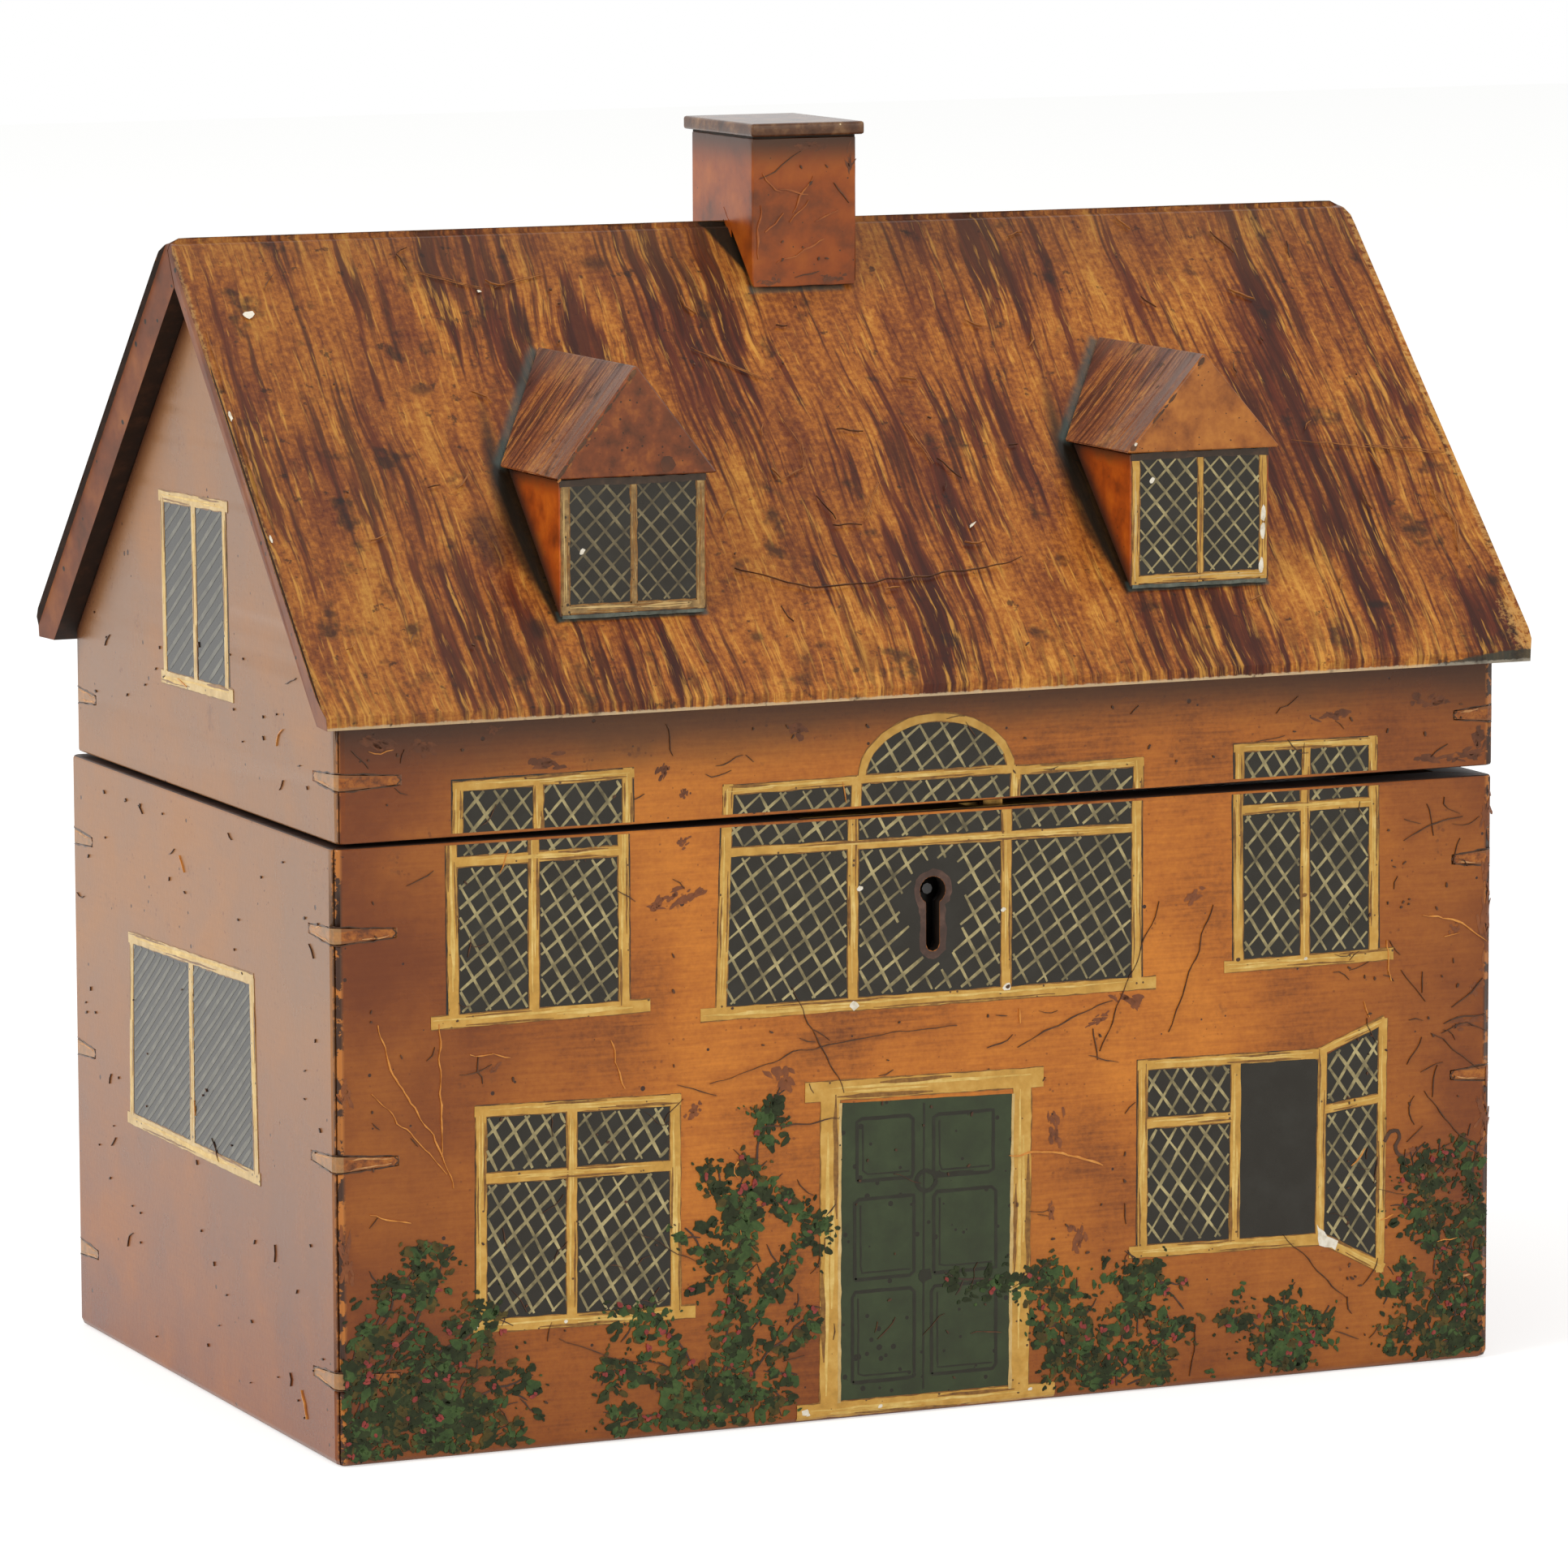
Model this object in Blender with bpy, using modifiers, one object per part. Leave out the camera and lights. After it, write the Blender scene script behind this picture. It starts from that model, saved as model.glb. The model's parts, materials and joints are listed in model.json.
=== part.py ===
# Cottage tea caddy: a painted wooden box in the shape of a thatched cottage. The roof is a hinged
# lid over two foil-lined tea compartments, each with its own lift-out lid.
# Metres, +Z up. X runs along the front, the front faces -Y, and the origin is the middle of the
# underside.

import math

import bmesh
import bpy
from mathutils import Matrix, Vector

# Walls of the cottage
BODY_WIDTH = 0.180
BODY_DEPTH = 0.110
BASE_HEIGHT = 0.0862
WALL = 0.0065
BOTTOM_BOARD = 0.005
CORNER_ROUND = 0.0012
SEAM_ROUND = 0.0004

# Lid walls: the lid has shrunk a little and sits to the right, and it has warped off its seam there
LID_SHRINKAGE = 0.0008
LID_SHIFT = 0.0005
SEAM_LEFT = 0.0005
SEAM_RIGHT = 0.0014

# Roof slabs
EAVE_RISE = 0.0171
EAVE_NOSE = 0.0017
EAVE_REACH = 0.0066
ROOF_PITCH = math.radians(45.3)
ROOF_THICKNESS = 0.0055
ROOF_END_REACH = 0.0035
ROOF_UNDERCUT = math.radians(14)
RIDGE_ROUND = 0.0022
ROOF_ARRIS = 0.0005

# Chimney
CHIMNEY_WIDTH = 0.0164
CHIMNEY_SHIFT = 0.0006
CHIMNEY_FRONT = 0.0104
CHIMNEY_BACK = 0.0118
CHIMNEY_RISE = 0.0115
CAP_THICKNESS = 0.0019
CAP_SIDE_OVERHANG = 0.0007
CAP_END_OVERHANG = 0.0016
CAP_ARRIS = 0.0004

# Dormers: how far each stands in from the walls' end, and its roof's rise, which differ by hand
DORMER_WIDTH = 0.0221
DORMER_SETBACK = 0.0039
DORMER_HEIGHT = 0.0193
DORMER_SIDE_OVERHANG = 0.0012
DORMER_FRONT_OVERHANG = 0.0015
DORMER_ARRIS = 0.0003
LEFT_DORMER_INSET = 0.03545
LEFT_DORMER_RISE = 0.0155
RIGHT_DORMER_INSET = 0.03485
RIGHT_DORMER_RISE = 0.0139

# Mitre keys: thin slips let into saw cuts across the corners
KEY_REACH_LEFT = 0.0092
KEY_REACH_RIGHT = 0.0066
KEY_THICKNESS = 0.0023
KEY_TIP = 0.0011
KEY_CLEARANCE = 0.0002
BASE_KEY_SHARES = (0.14, 0.508, 0.86)
LID_KEY_SHARE = 0.5

# Inside of the base
LINING = 0.0025
PARTITION = 0.005
LEDGE_DROP = 0.0068
FOIL = 0.0004

# Tea lids and their turned knobs
TEA_LID = 0.004
TEA_LID_PLAY = 0.0010
TEA_LID_ARRIS = 0.0006
KNOB_RADIUS = 0.0052
KNOB_HEIGHT = 0.0105
# Radius and height of the knob's profile from its foot to its crown, as shares of those two
KNOB_PROFILE_SHARES = (
    (0.00, 0.000), (0.74, 0.000), (0.78, 0.055), (0.70, 0.120), (0.40, 0.190), (0.33, 0.300),
    (0.42, 0.390), (0.80, 0.500), (0.98, 0.640), (1.00, 0.730), (0.90, 0.860), (0.62, 0.955),
    (0.28, 0.995), (0.00, 1.000),
)

# Keyhole, with its round part over a slot
KEYHOLE_SHIFT = 0.0003
KEYHOLE_DROP = 0.0113
KEYHOLE_RADIUS = 0.0020
KEYHOLE_SLOT = 0.0021
KEYHOLE_REACH = 0.0087

# Lock, let into the front board from inside, with its top plate flush with the rim
LOCK_WIDTH = 0.034
LOCK_HEIGHT = 0.0235
LOCK_DEPTH = 0.0046
LOCK_SHEET = 0.0009
SELVEDGE_WIDTH = 0.040
SELVEDGE_DEPTH = 0.0054
DRILL_PIN_RADIUS = 0.0008

# Bolt, its spring and the hook it holds
BOLT_LENGTH = 0.019
BOLT_THICKNESS = 0.0016
BOLT_HEIGHT = 0.0034
BOLT_LIFT = 0.0047
BOLT_THROW = 0.0026
BOLT_CLEARANCE = 0.0003
TONGUE_LENGTH = 0.0045
TONGUE_HEIGHT = 0.0020
TALON_WIDTH = 0.0034
TALON_HEIGHT = 0.0012
SPRING_THICKNESS = 0.0004
SPRING_LENGTH = 0.0100
SPRING_BOW = 0.0011
HOOK_THICKNESS = 0.0014
HOOK_SHANK = 0.0030
HOOK_NOSE = 0.0024
HOOK_NOSE_HEIGHT = 0.0018
HOOK_PLAY = 0.0006
HOOK_ARRIS = 0.0003
LINK_PLATE = 0.0010

# Hinges
HINGE_INSET = 0.027
HINGE_LENGTH = 0.026
HINGE_LEAF = 0.0008
HINGE_MARGIN = 0.0013
KNUCKLE_COUNT = 5
KNUCKLE_RADIUS = 0.0019
KNUCKLE_GAP = 0.0002
HINGE_STANDOFF = 0.0012
PIN_RADIUS = 0.0009
PIN_CLEARANCE = 0.00008
PIN_OVERHANG = 0.0003
PIN_ARRIS = 0.0002

# Gaps between pieces, and how far a cutter runs past what it cuts
GLUE_GAP = 0.0002
SEAT_GAP = 0.0003
OVERRUN = 0.003

# Facets
ROUND_SIDES = 16
KNOB_SIDES = 24
ARC_STEPS = 4

# Worked out from the sizes above
SLOPE = math.tan(ROOF_PITCH)
HALF_WIDTH = BODY_WIDTH / 2
HALF_DEPTH = BODY_DEPTH / 2
LID_WIDTH = BODY_WIDTH - LID_SHRINKAGE
ROOF_LENGTH = BODY_WIDTH + 2 * ROOF_END_REACH
SOFFIT_HEIGHT = BASE_HEIGHT + EAVE_RISE
EAVE_DISTANCE = HALF_DEPTH + EAVE_REACH
RIDGE_HEIGHT = SOFFIT_HEIGHT + EAVE_NOSE + EAVE_DISTANCE * SLOPE
UNDER_RIDGE = RIDGE_HEIGHT - ROOF_THICKNESS / math.cos(ROOF_PITCH)
SEAM_SLOPE = (SEAM_RIGHT - SEAM_LEFT) / LID_WIDTH
SEAM_MIDDLE = (SEAM_LEFT + SEAM_RIGHT) / 2
HINGE_Y = HALF_DEPTH + HINGE_STANDOFF
HINGE_Z = BASE_HEIGHT + SEAM_MIDDLE / 2
INNER_X = HALF_WIDTH - WALL
INNER_Y = HALF_DEPTH - WALL
LEDGE_HEIGHT = BASE_HEIGHT - LEDGE_DROP
FLOOR_HEIGHT = BOTTOM_BOARD + GLUE_GAP
KEYHOLE_HEIGHT = BASE_HEIGHT - KEYHOLE_DROP
LOCK_BACK = -INNER_Y
LOCK_FRONT = LOCK_BACK - LOCK_DEPTH
LOCK_MIDDLE = (LOCK_BACK + LOCK_FRONT) / 2
BOLT_UNDERSIDE = KEYHOLE_HEIGHT + BOLT_LIFT
BOLT_TOP = BOLT_UNDERSIDE + BOLT_HEIGHT
BOLT_END = KEYHOLE_SHIFT - BOLT_THROW / 2 - TALON_WIDTH / 2 + BOLT_LENGTH / 2
HOOK_NOSE_TOP = BOLT_TOP - TONGUE_HEIGHT - BOLT_CLEARANCE
HOOK_FOOT = HOOK_NOSE_TOP - HOOK_NOSE_HEIGHT
HOOK_NOSE_END = BOLT_END + HOOK_PLAY
HOOK_SHANK_START = HOOK_NOSE_END + HOOK_NOSE
HOOK_SHANK_END = HOOK_SHANK_START + HOOK_SHANK

UP = Vector((0, 0, 1))


# Scene and materials

for leftover in list(bpy.data.objects):
    bpy.data.objects.remove(leftover)

PARTS = bpy.data.collections.new("Cottage tea caddy")
CUTTERS = bpy.data.collections.new("Cutters")
for collection in (PARTS, CUTTERS):
    bpy.context.scene.collection.children.link(collection)


def material(name, colour, roughness, metallic=0.0):
    made = bpy.data.materials.new(name)
    made.use_nodes = True
    shader = made.node_tree.nodes["Principled BSDF"]
    shader.inputs["Base Color"].default_value = (*colour, 1)
    shader.inputs["Roughness"].default_value = roughness
    shader.inputs["Metallic"].default_value = metallic
    made.diffuse_color = (*colour, 1)
    return made


WALL_PAINT = material("wall_paint", (0.42, 0.11, 0.025), 0.35)
THATCH_PAINT = material("thatch_paint", (0.36, 0.15, 0.03), 0.35)
BRICK_PAINT = material("brick_paint", (0.33, 0.08, 0.015), 0.4)
KEY_WOOD = material("key_wood", (0.38, 0.18, 0.07), 0.5)
INNER_WOOD = material("inner_wood", (0.30, 0.16, 0.08), 0.6)
TEA_LID_WOOD = material("tea_lid_wood", (0.20, 0.07, 0.03), 0.35)
KNOB_BONE = material("knob_bone", (0.72, 0.62, 0.44), 0.4)
LINER_FOIL = material("liner_foil", (0.33, 0.33, 0.32), 0.45, 0.9)
BRASS = material("brass", (0.55, 0.38, 0.13), 0.35, 1.0)
STEEL = material("steel", (0.28, 0.26, 0.24), 0.5, 1.0)


# Making and cutting solids

def add_part(name, mesh, finish, location=(0, 0, 0), parent=None, smooth=False):
    bmesh.ops.recalc_face_normals(mesh, faces=mesh.faces)
    data = bpy.data.meshes.new(name)
    mesh.to_mesh(data)
    mesh.free()
    if smooth:
        data.shade_smooth()
        data.set_sharp_from_angle(angle=math.radians(35))
    part = bpy.data.objects.new(name, data)
    if finish:
        data.materials.append(finish)
        PARTS.objects.link(part)
    else:
        part.hide_render = True
        part.display_type = "WIRE"
        CUTTERS.objects.link(part)
    part.location = location
    if parent:
        part.parent = parent
        part.matrix_parent_inverse = Matrix.Translation(-parent.location)
    return part


def add_cutter(name, mesh, location=(0, 0, 0)):
    return add_part(name, mesh, None, location)


def add_empty(name, location):
    empty = bpy.data.objects.new(name, None)
    empty.location = location
    empty.empty_display_size = BODY_DEPTH / 5
    PARTS.objects.link(empty)
    return empty


def combine(part, other, operation):
    step = part.modifiers.new(other.name, "BOOLEAN")
    step.operation = operation
    step.solver = "EXACT"
    step.object = other


def cut(part, *cutters):
    for cutter in cutters:
        combine(part, cutter, "DIFFERENCE")


def join(part, *others):
    for other in others:
        combine(part, other, "UNION")


def box(low, high):
    mesh = bmesh.new()
    low = Vector(low)
    high = Vector(high)
    bmesh.ops.create_cube(mesh, size=1)
    bmesh.ops.scale(mesh, vec=high - low, verts=mesh.verts)
    bmesh.ops.translate(mesh, vec=(high + low) / 2, verts=mesh.verts)
    return mesh


def round_edges(mesh, edges, width, segments=2):
    bmesh.ops.bevel(
        mesh, geom=edges, offset=width, offset_type="OFFSET", segments=segments, profile=0.5,
        affect="EDGES", clamp_overlap=True, material=-1,
    )


def rod(radius, start, end, axis="X", sides=ROUND_SIDES):
    # A closed cylinder along an axis through the origin, from start to end.
    mesh = bmesh.new()
    bmesh.ops.create_cone(
        mesh, cap_ends=True, segments=sides, radius1=radius, radius2=radius, depth=end - start)
    bmesh.ops.translate(mesh, vec=UP * (start + end) / 2, verts=mesh.verts)
    turns = {"X": Matrix.Rotation(math.pi / 2, 4, "Y"), "Y": Matrix.Rotation(-math.pi / 2, 4, "X")}
    bmesh.ops.transform(mesh, matrix=turns[axis], verts=mesh.verts)
    return mesh


def merged(meshes):
    # One mesh that holds separate closed bodies, for cutters and for groups of knuckles.
    whole = bmesh.new()
    for mesh in meshes:
        data = bpy.data.meshes.new("body")
        mesh.to_mesh(data)
        mesh.free()
        whole.from_mesh(data)
        bpy.data.meshes.remove(data)
    return whole


def slice_off(mesh, point, normal):
    # Removes what lies on the normal's side of a plane and closes the cut.
    geometry = mesh.verts[:] + mesh.edges[:] + mesh.faces[:]
    sliced = bmesh.ops.bisect_plane(
        mesh, geom=geometry, plane_co=point, plane_no=normal, clear_outer=True)
    rim = [item for item in sliced["geom_cut"] if isinstance(item, bmesh.types.BMEdge)]
    bmesh.ops.edgeloop_fill(mesh, edges=rim)


def outline_solid(points, start, end, directions):
    # A flat outline, filled and given a thickness from start to end. The directions are those of
    # the outline's two axes and of its thickness.
    curve = bpy.data.curves.new("outline", "CURVE")
    curve.dimensions = "2D"
    curve.fill_mode = "BOTH"
    curve.extrude = (end - start) / 2
    spline = curve.splines.new("POLY")
    spline.points.add(len(points) - 1)
    for corner, (across, along) in zip(spline.points, points):
        corner.co = (across, along, 0, 1)
    spline.use_cyclic_u = True
    outline = bpy.data.objects.new("outline", curve)
    bpy.context.scene.collection.objects.link(outline)
    bpy.context.view_layer.update()
    data = bpy.data.meshes.new_from_object(
        outline.evaluated_get(bpy.context.evaluated_depsgraph_get()))
    bpy.data.objects.remove(outline)
    mesh = bmesh.new()
    mesh.from_mesh(data)
    bpy.data.meshes.remove(data)
    bmesh.ops.remove_doubles(mesh, verts=mesh.verts, dist=GLUE_GAP / 20)
    bmesh.ops.dissolve_limit(
        mesh, angle_limit=math.radians(1), verts=mesh.verts, edges=mesh.edges)
    bmesh.ops.translate(mesh, vec=UP * (start + end) / 2, verts=mesh.verts)
    axes = Matrix([Vector(direction) for direction in directions]).transposed()
    bmesh.ops.transform(mesh, matrix=axes.to_4x4(), verts=mesh.verts)
    bmesh.ops.recalc_face_normals(mesh, faces=mesh.faces)
    return mesh


# The walls are slices of one block, which stands for the outside of the base or of the lid

def rim_edges(mesh, side):
    # The edges round the upper face of a block, side 1, or round its lower face, side -1.
    face = max(mesh.faces, key=lambda face: side * face.calc_center_median().z)
    return list(face.edges)


def block(middle, width, low_left, low_right, high):
    # A block with rounded upright edges. Its underside may rise from left to right.
    mesh = box(
        (middle - width / 2, -HALF_DEPTH, low_left), (middle + width / 2, HALF_DEPTH, high))
    for vertex in mesh.verts:
        if vertex.co.x > middle and vertex.co.z < high - OVERRUN:
            vertex.co.z = low_right
    rims = rim_edges(mesh, 1) + rim_edges(mesh, -1)
    round_edges(mesh, [edge for edge in mesh.edges if edge not in rims], CORNER_ROUND)
    return mesh


def base_block():
    mesh = block(0, BODY_WIDTH, 0, 0, BASE_HEIGHT)
    round_edges(mesh, rim_edges(mesh, -1), CORNER_ROUND)
    round_edges(mesh, rim_edges(mesh, 1), SEAM_ROUND)
    return mesh


def lid_block():
    low_left = BASE_HEIGHT + SEAM_LEFT
    low_right = BASE_HEIGHT + SEAM_RIGHT
    mesh = block(LID_SHIFT, LID_WIDTH, low_left, low_right, RIDGE_HEIGHT)
    round_edges(mesh, rim_edges(mesh, -1), SEAM_ROUND)
    return mesh


def lid_underside(x):
    return BASE_HEIGHT + SEAM_LEFT + (x - LID_SHIFT + LID_WIDTH / 2) * SEAM_SLOPE


def cut_board(mesh, middle, outward, reach, half_length):
    # Keeps the board on one side of a block: mitred at both ends, a wall thick.
    outward = Vector(outward)
    along = UP.cross(outward)
    centre = Vector((middle, 0, 0))
    for end in (-1, 1):
        corner = centre + outward * reach + along * half_length * end
        away = (along * end - outward).normalized()
        slice_off(mesh, corner - away * GLUE_GAP / 2, away)
    slice_off(mesh, centre + outward * (reach - WALL), -outward)


def cut_under_roof(mesh):
    # Cuts a lid board to the undersides of the two slabs.
    top = Vector((0, 0, UNDER_RIDGE - GLUE_GAP / math.cos(ROOF_PITCH)))
    for side in (-1, 1):
        slice_off(mesh, top, (0, side * math.sin(ROOF_PITCH), math.cos(ROOF_PITCH)))


def key_slice(mesh, corner, reach, clearance):
    # Keeps the slip that crosses a corner, thinner towards its inner edge.
    inward = Vector((-math.copysign(1, corner.x), -math.copysign(1, corner.y), 0)).normalized()
    depth = reach / math.sqrt(2)
    taper = math.atan((KEY_THICKNESS - KEY_TIP) / 2 / depth)
    slice_off(mesh, corner + inward * (depth + clearance), inward)
    for side in (-1, 1):
        edge = corner + UP * side * (KEY_THICKNESS / 2 + clearance)
        slice_off(mesh, edge, inward * math.sin(taper) + UP * side * math.cos(taper))


def mitre_keys(prefix, whole_block, middle, width, heights, parent=None):
    # A key at each corner and height, and one cutter with the saw cuts for all of them.
    saw_cuts = []
    for end, across, reach in (("left", -1, KEY_REACH_LEFT), ("right", 1, KEY_REACH_RIGHT)):
        for face, side in (("front", -1), ("back", 1)):
            for number, height in enumerate(heights, 1):
                corner = Vector((middle + across * width / 2, side * HALF_DEPTH, height))
                key = whole_block()
                key_slice(key, corner, reach, 0)
                name = f"{prefix}_key_{face}_{end}"
                if len(heights) > 1:
                    name += f"_{number}"
                add_part(name, key, KEY_WOOD, parent=parent)
                margin = Vector((1, 1, 1)) * (reach + OVERRUN)
                saw_cut = box(corner - margin, corner + margin)
                for outward in (Vector((across, 0, 0)), Vector((0, side, 0))):
                    slice_off(saw_cut, corner + outward * OVERRUN, outward)
                key_slice(saw_cut, corner, reach, KEY_CLEARANCE)
                saw_cuts.append(saw_cut)
    return add_cutter(f"{prefix}_saw_cuts", merged(saw_cuts))


# Keyhole

def keyhole_outline(clearance=0):
    # The round part over the slot, seen from the front, about the key's axis.
    radius = KEYHOLE_RADIUS + clearance
    half_slot = KEYHOLE_SLOT / 2 + clearance
    opening = math.asin(half_slot / radius)
    points = []
    steps = ROUND_SIDES
    for step in range(steps + 1):
        angle = -math.pi / 2 + opening + step / steps * (2 * math.pi - 2 * opening)
        points.append((radius * math.cos(angle), radius * math.sin(angle)))
    foot = -KEYHOLE_REACH - clearance + half_slot
    for step in range(ARC_STEPS + 1):
        angle = math.pi + step / ARC_STEPS * math.pi
        points.append((half_slot * math.cos(angle), foot + half_slot * math.sin(angle)))
    return points


def keyhole_cutter(name, near, far, clearance=0):
    mesh = outline_solid(
        keyhole_outline(clearance), near, far, ((1, 0, 0), (0, 0, 1), (0, 1, 0)))
    return add_cutter(name, mesh, (KEYHOLE_SHIFT, 0, KEYHOLE_HEIGHT))


# Lock: case with selvedge, bolt and spring

def lock_recess():
    case = box(
        (KEYHOLE_SHIFT - LOCK_WIDTH / 2 - GLUE_GAP, LOCK_FRONT - GLUE_GAP,
         BASE_HEIGHT - LOCK_HEIGHT - GLUE_GAP),
        (KEYHOLE_SHIFT + LOCK_WIDTH / 2 + GLUE_GAP, LOCK_BACK + OVERRUN, BASE_HEIGHT + OVERRUN),
    )
    plate = box(
        (KEYHOLE_SHIFT - SELVEDGE_WIDTH / 2 - GLUE_GAP, LOCK_BACK - SELVEDGE_DEPTH - GLUE_GAP,
         BASE_HEIGHT - LOCK_SHEET - GLUE_GAP),
        (KEYHOLE_SHIFT + SELVEDGE_WIDTH / 2 + GLUE_GAP, LOCK_BACK + OVERRUN,
         BASE_HEIGHT + OVERRUN),
    )
    return add_cutter("lock_case_recess", case), add_cutter("selvedge_recess", plate)


def lock():
    case = add_part("lock_case", box(
        (KEYHOLE_SHIFT - LOCK_WIDTH / 2, LOCK_FRONT, BASE_HEIGHT - LOCK_HEIGHT),
        (KEYHOLE_SHIFT + LOCK_WIDTH / 2, LOCK_BACK, BASE_HEIGHT - LOCK_SHEET / 2),
    ), BRASS)
    join(case, add_cutter("selvedge", box(
        (KEYHOLE_SHIFT - SELVEDGE_WIDTH / 2, LOCK_BACK - SELVEDGE_DEPTH,
         BASE_HEIGHT - LOCK_SHEET),
        (KEYHOLE_SHIFT + SELVEDGE_WIDTH / 2, LOCK_BACK, BASE_HEIGHT),
    )))
    half_channel = BOLT_THICKNESS / 2 + BOLT_CLEARANCE
    channel_near = LOCK_MIDDLE - half_channel
    channel_far = LOCK_MIDDLE + half_channel
    bolt_start = BOLT_END - BOLT_LENGTH
    channel = add_cutter("bolt_channel", box(
        (bolt_start - BOLT_CLEARANCE, channel_near, BOLT_UNDERSIDE - BOLT_CLEARANCE),
        (HOOK_SHANK_START, channel_far, BOLT_TOP + BOLT_CLEARANCE),
    ))
    spring_start = bolt_start + BOLT_HEIGHT / 2
    spring_room = add_cutter("spring_room", box(
        (spring_start - BOLT_CLEARANCE, channel_near, BOLT_TOP),
        (spring_start + SPRING_LENGTH + BOLT_CLEARANCE, channel_far, spring_roof()),
    ))
    sweep = add_cutter("key_sweep", rod(
        KEYHOLE_REACH + SEAT_GAP, channel_near, channel_far, "Y", 2 * ROUND_SIDES,
    ), (KEYHOLE_SHIFT, 0, KEYHOLE_HEIGHT))
    hook_room = add_cutter("hook_room", box(
        (HOOK_NOSE_END - HOOK_PLAY, LOCK_MIDDLE - HOOK_THICKNESS / 2 - HOOK_PLAY,
         HOOK_FOOT - SEAT_GAP),
        (HOOK_SHANK_END + HOOK_PLAY, LOCK_MIDDLE + HOOK_THICKNESS / 2 + HOOK_PLAY,
         BASE_HEIGHT + OVERRUN),
    ))
    mouth = keyhole_cutter("lock_keyhole", LOCK_FRONT - OVERRUN, LOCK_MIDDLE, SEAT_GAP)
    cut(case, channel, spring_room, sweep, hook_room, mouth)
    pin = rod(DRILL_PIN_RADIUS, LOCK_FRONT, LOCK_BACK - LOCK_SHEET / 2, "Y", ROUND_SIDES // 2)
    join(case, add_cutter("drill_pin", pin, (KEYHOLE_SHIFT, 0, KEYHOLE_HEIGHT)))
    lock_bolt()
    lock_spring(spring_start)


def spring_roof():
    return BOLT_TOP + 2 * SEAT_GAP + SPRING_THICKNESS + SPRING_BOW


def lock_bolt():
    # The origin is the middle of the bolt's end, on the line along which it slides.
    shoulder = -TONGUE_LENGTH
    underside = -BOLT_HEIGHT / 2
    step = BOLT_HEIGHT / 2 - TONGUE_HEIGHT
    talon_middle = KEYHOLE_SHIFT - BOLT_THROW / 2 - BOLT_END
    talon_left = talon_middle - TALON_WIDTH / 2
    talon_right = talon_middle + TALON_WIDTH / 2
    talon_roof = underside + TALON_HEIGHT
    points = (
        (-BOLT_LENGTH, underside), (talon_left, underside), (talon_left, talon_roof),
        (talon_right, talon_roof), (talon_right, underside), (shoulder, underside),
        (shoulder, step), (0, step), (0, BOLT_HEIGHT / 2), (-BOLT_LENGTH, BOLT_HEIGHT / 2),
    )
    mesh = outline_solid(
        points, -BOLT_THICKNESS / 2, BOLT_THICKNESS / 2, ((1, 0, 0), (0, 0, 1), (0, 1, 0)))
    add_part("lock_bolt", mesh, STEEL, (BOLT_END, LOCK_MIDDLE, BOLT_TOP - BOLT_HEIGHT / 2))


def lock_spring(start):
    # A bowed leaf between the bolt and the top of its room.
    lower = []
    steps = 2 * ARC_STEPS
    for step in range(steps + 1):
        share = step / steps
        lift = SPRING_BOW * (2 * share - 1) ** 2
        lower.append((start + share * SPRING_LENGTH, BOLT_TOP + SEAT_GAP + lift))
    upper = [(across, height + SPRING_THICKNESS) for across, height in reversed(lower)]
    mesh = outline_solid(
        lower + upper, -BOLT_THICKNESS / 2, BOLT_THICKNESS / 2,
        ((1, 0, 0), (0, 0, 1), (0, 1, 0)))
    add_part("lock_spring", mesh, STEEL, (0, LOCK_MIDDLE, 0))


def link_plate(lid):
    # The plate let into the lid's rim, with the hook that the bolt holds.
    underside = lid_underside(KEYHOLE_SHIFT)
    plate = add_part("link_plate", box(
        (KEYHOLE_SHIFT - SELVEDGE_WIDTH / 2, LOCK_BACK - SELVEDGE_DEPTH, underside),
        (KEYHOLE_SHIFT + SELVEDGE_WIDTH / 2, LOCK_BACK, underside + LINK_PLATE),
    ), BRASS, parent=lid)
    root = underside + LINK_PLATE / 2
    points = (
        (HOOK_NOSE_END, HOOK_FOOT + HOOK_ARRIS), (HOOK_NOSE_END + HOOK_ARRIS, HOOK_FOOT),
        (HOOK_SHANK_END - HOOK_ARRIS, HOOK_FOOT), (HOOK_SHANK_END, HOOK_FOOT + HOOK_ARRIS),
        (HOOK_SHANK_END, root), (HOOK_SHANK_START, root), (HOOK_SHANK_START, HOOK_NOSE_TOP),
        (HOOK_NOSE_END, HOOK_NOSE_TOP),
    )
    hook = outline_solid(
        points, LOCK_MIDDLE - HOOK_THICKNESS / 2, LOCK_MIDDLE + HOOK_THICKNESS / 2,
        ((1, 0, 0), (0, 0, 1), (0, 1, 0)))
    join(plate, add_cutter("hook", hook))
    return add_cutter("link_plate_recess", box(
        (KEYHOLE_SHIFT - SELVEDGE_WIDTH / 2 - GLUE_GAP, LOCK_BACK - SELVEDGE_DEPTH - GLUE_GAP,
         underside - OVERRUN),
        (KEYHOLE_SHIFT + SELVEDGE_WIDTH / 2 + GLUE_GAP, LOCK_BACK + OVERRUN,
         underside + LINK_PLATE + GLUE_GAP),
    ))


# Hinges

def knuckles(first, radius, slack):
    # Every second knuckle along the barrel, from the first, each longer by the slack at both ends.
    pitch = HINGE_LENGTH / KNUCKLE_COUNT
    rods = []
    for number in range(first, KNUCKLE_COUNT, 2):
        start = -HINGE_LENGTH / 2 + number * pitch + KNUCKLE_GAP / 2 - slack
        end = start + pitch - KNUCKLE_GAP + 2 * slack
        rods.append(rod(radius, start, end))
    return merged(rods)


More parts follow.
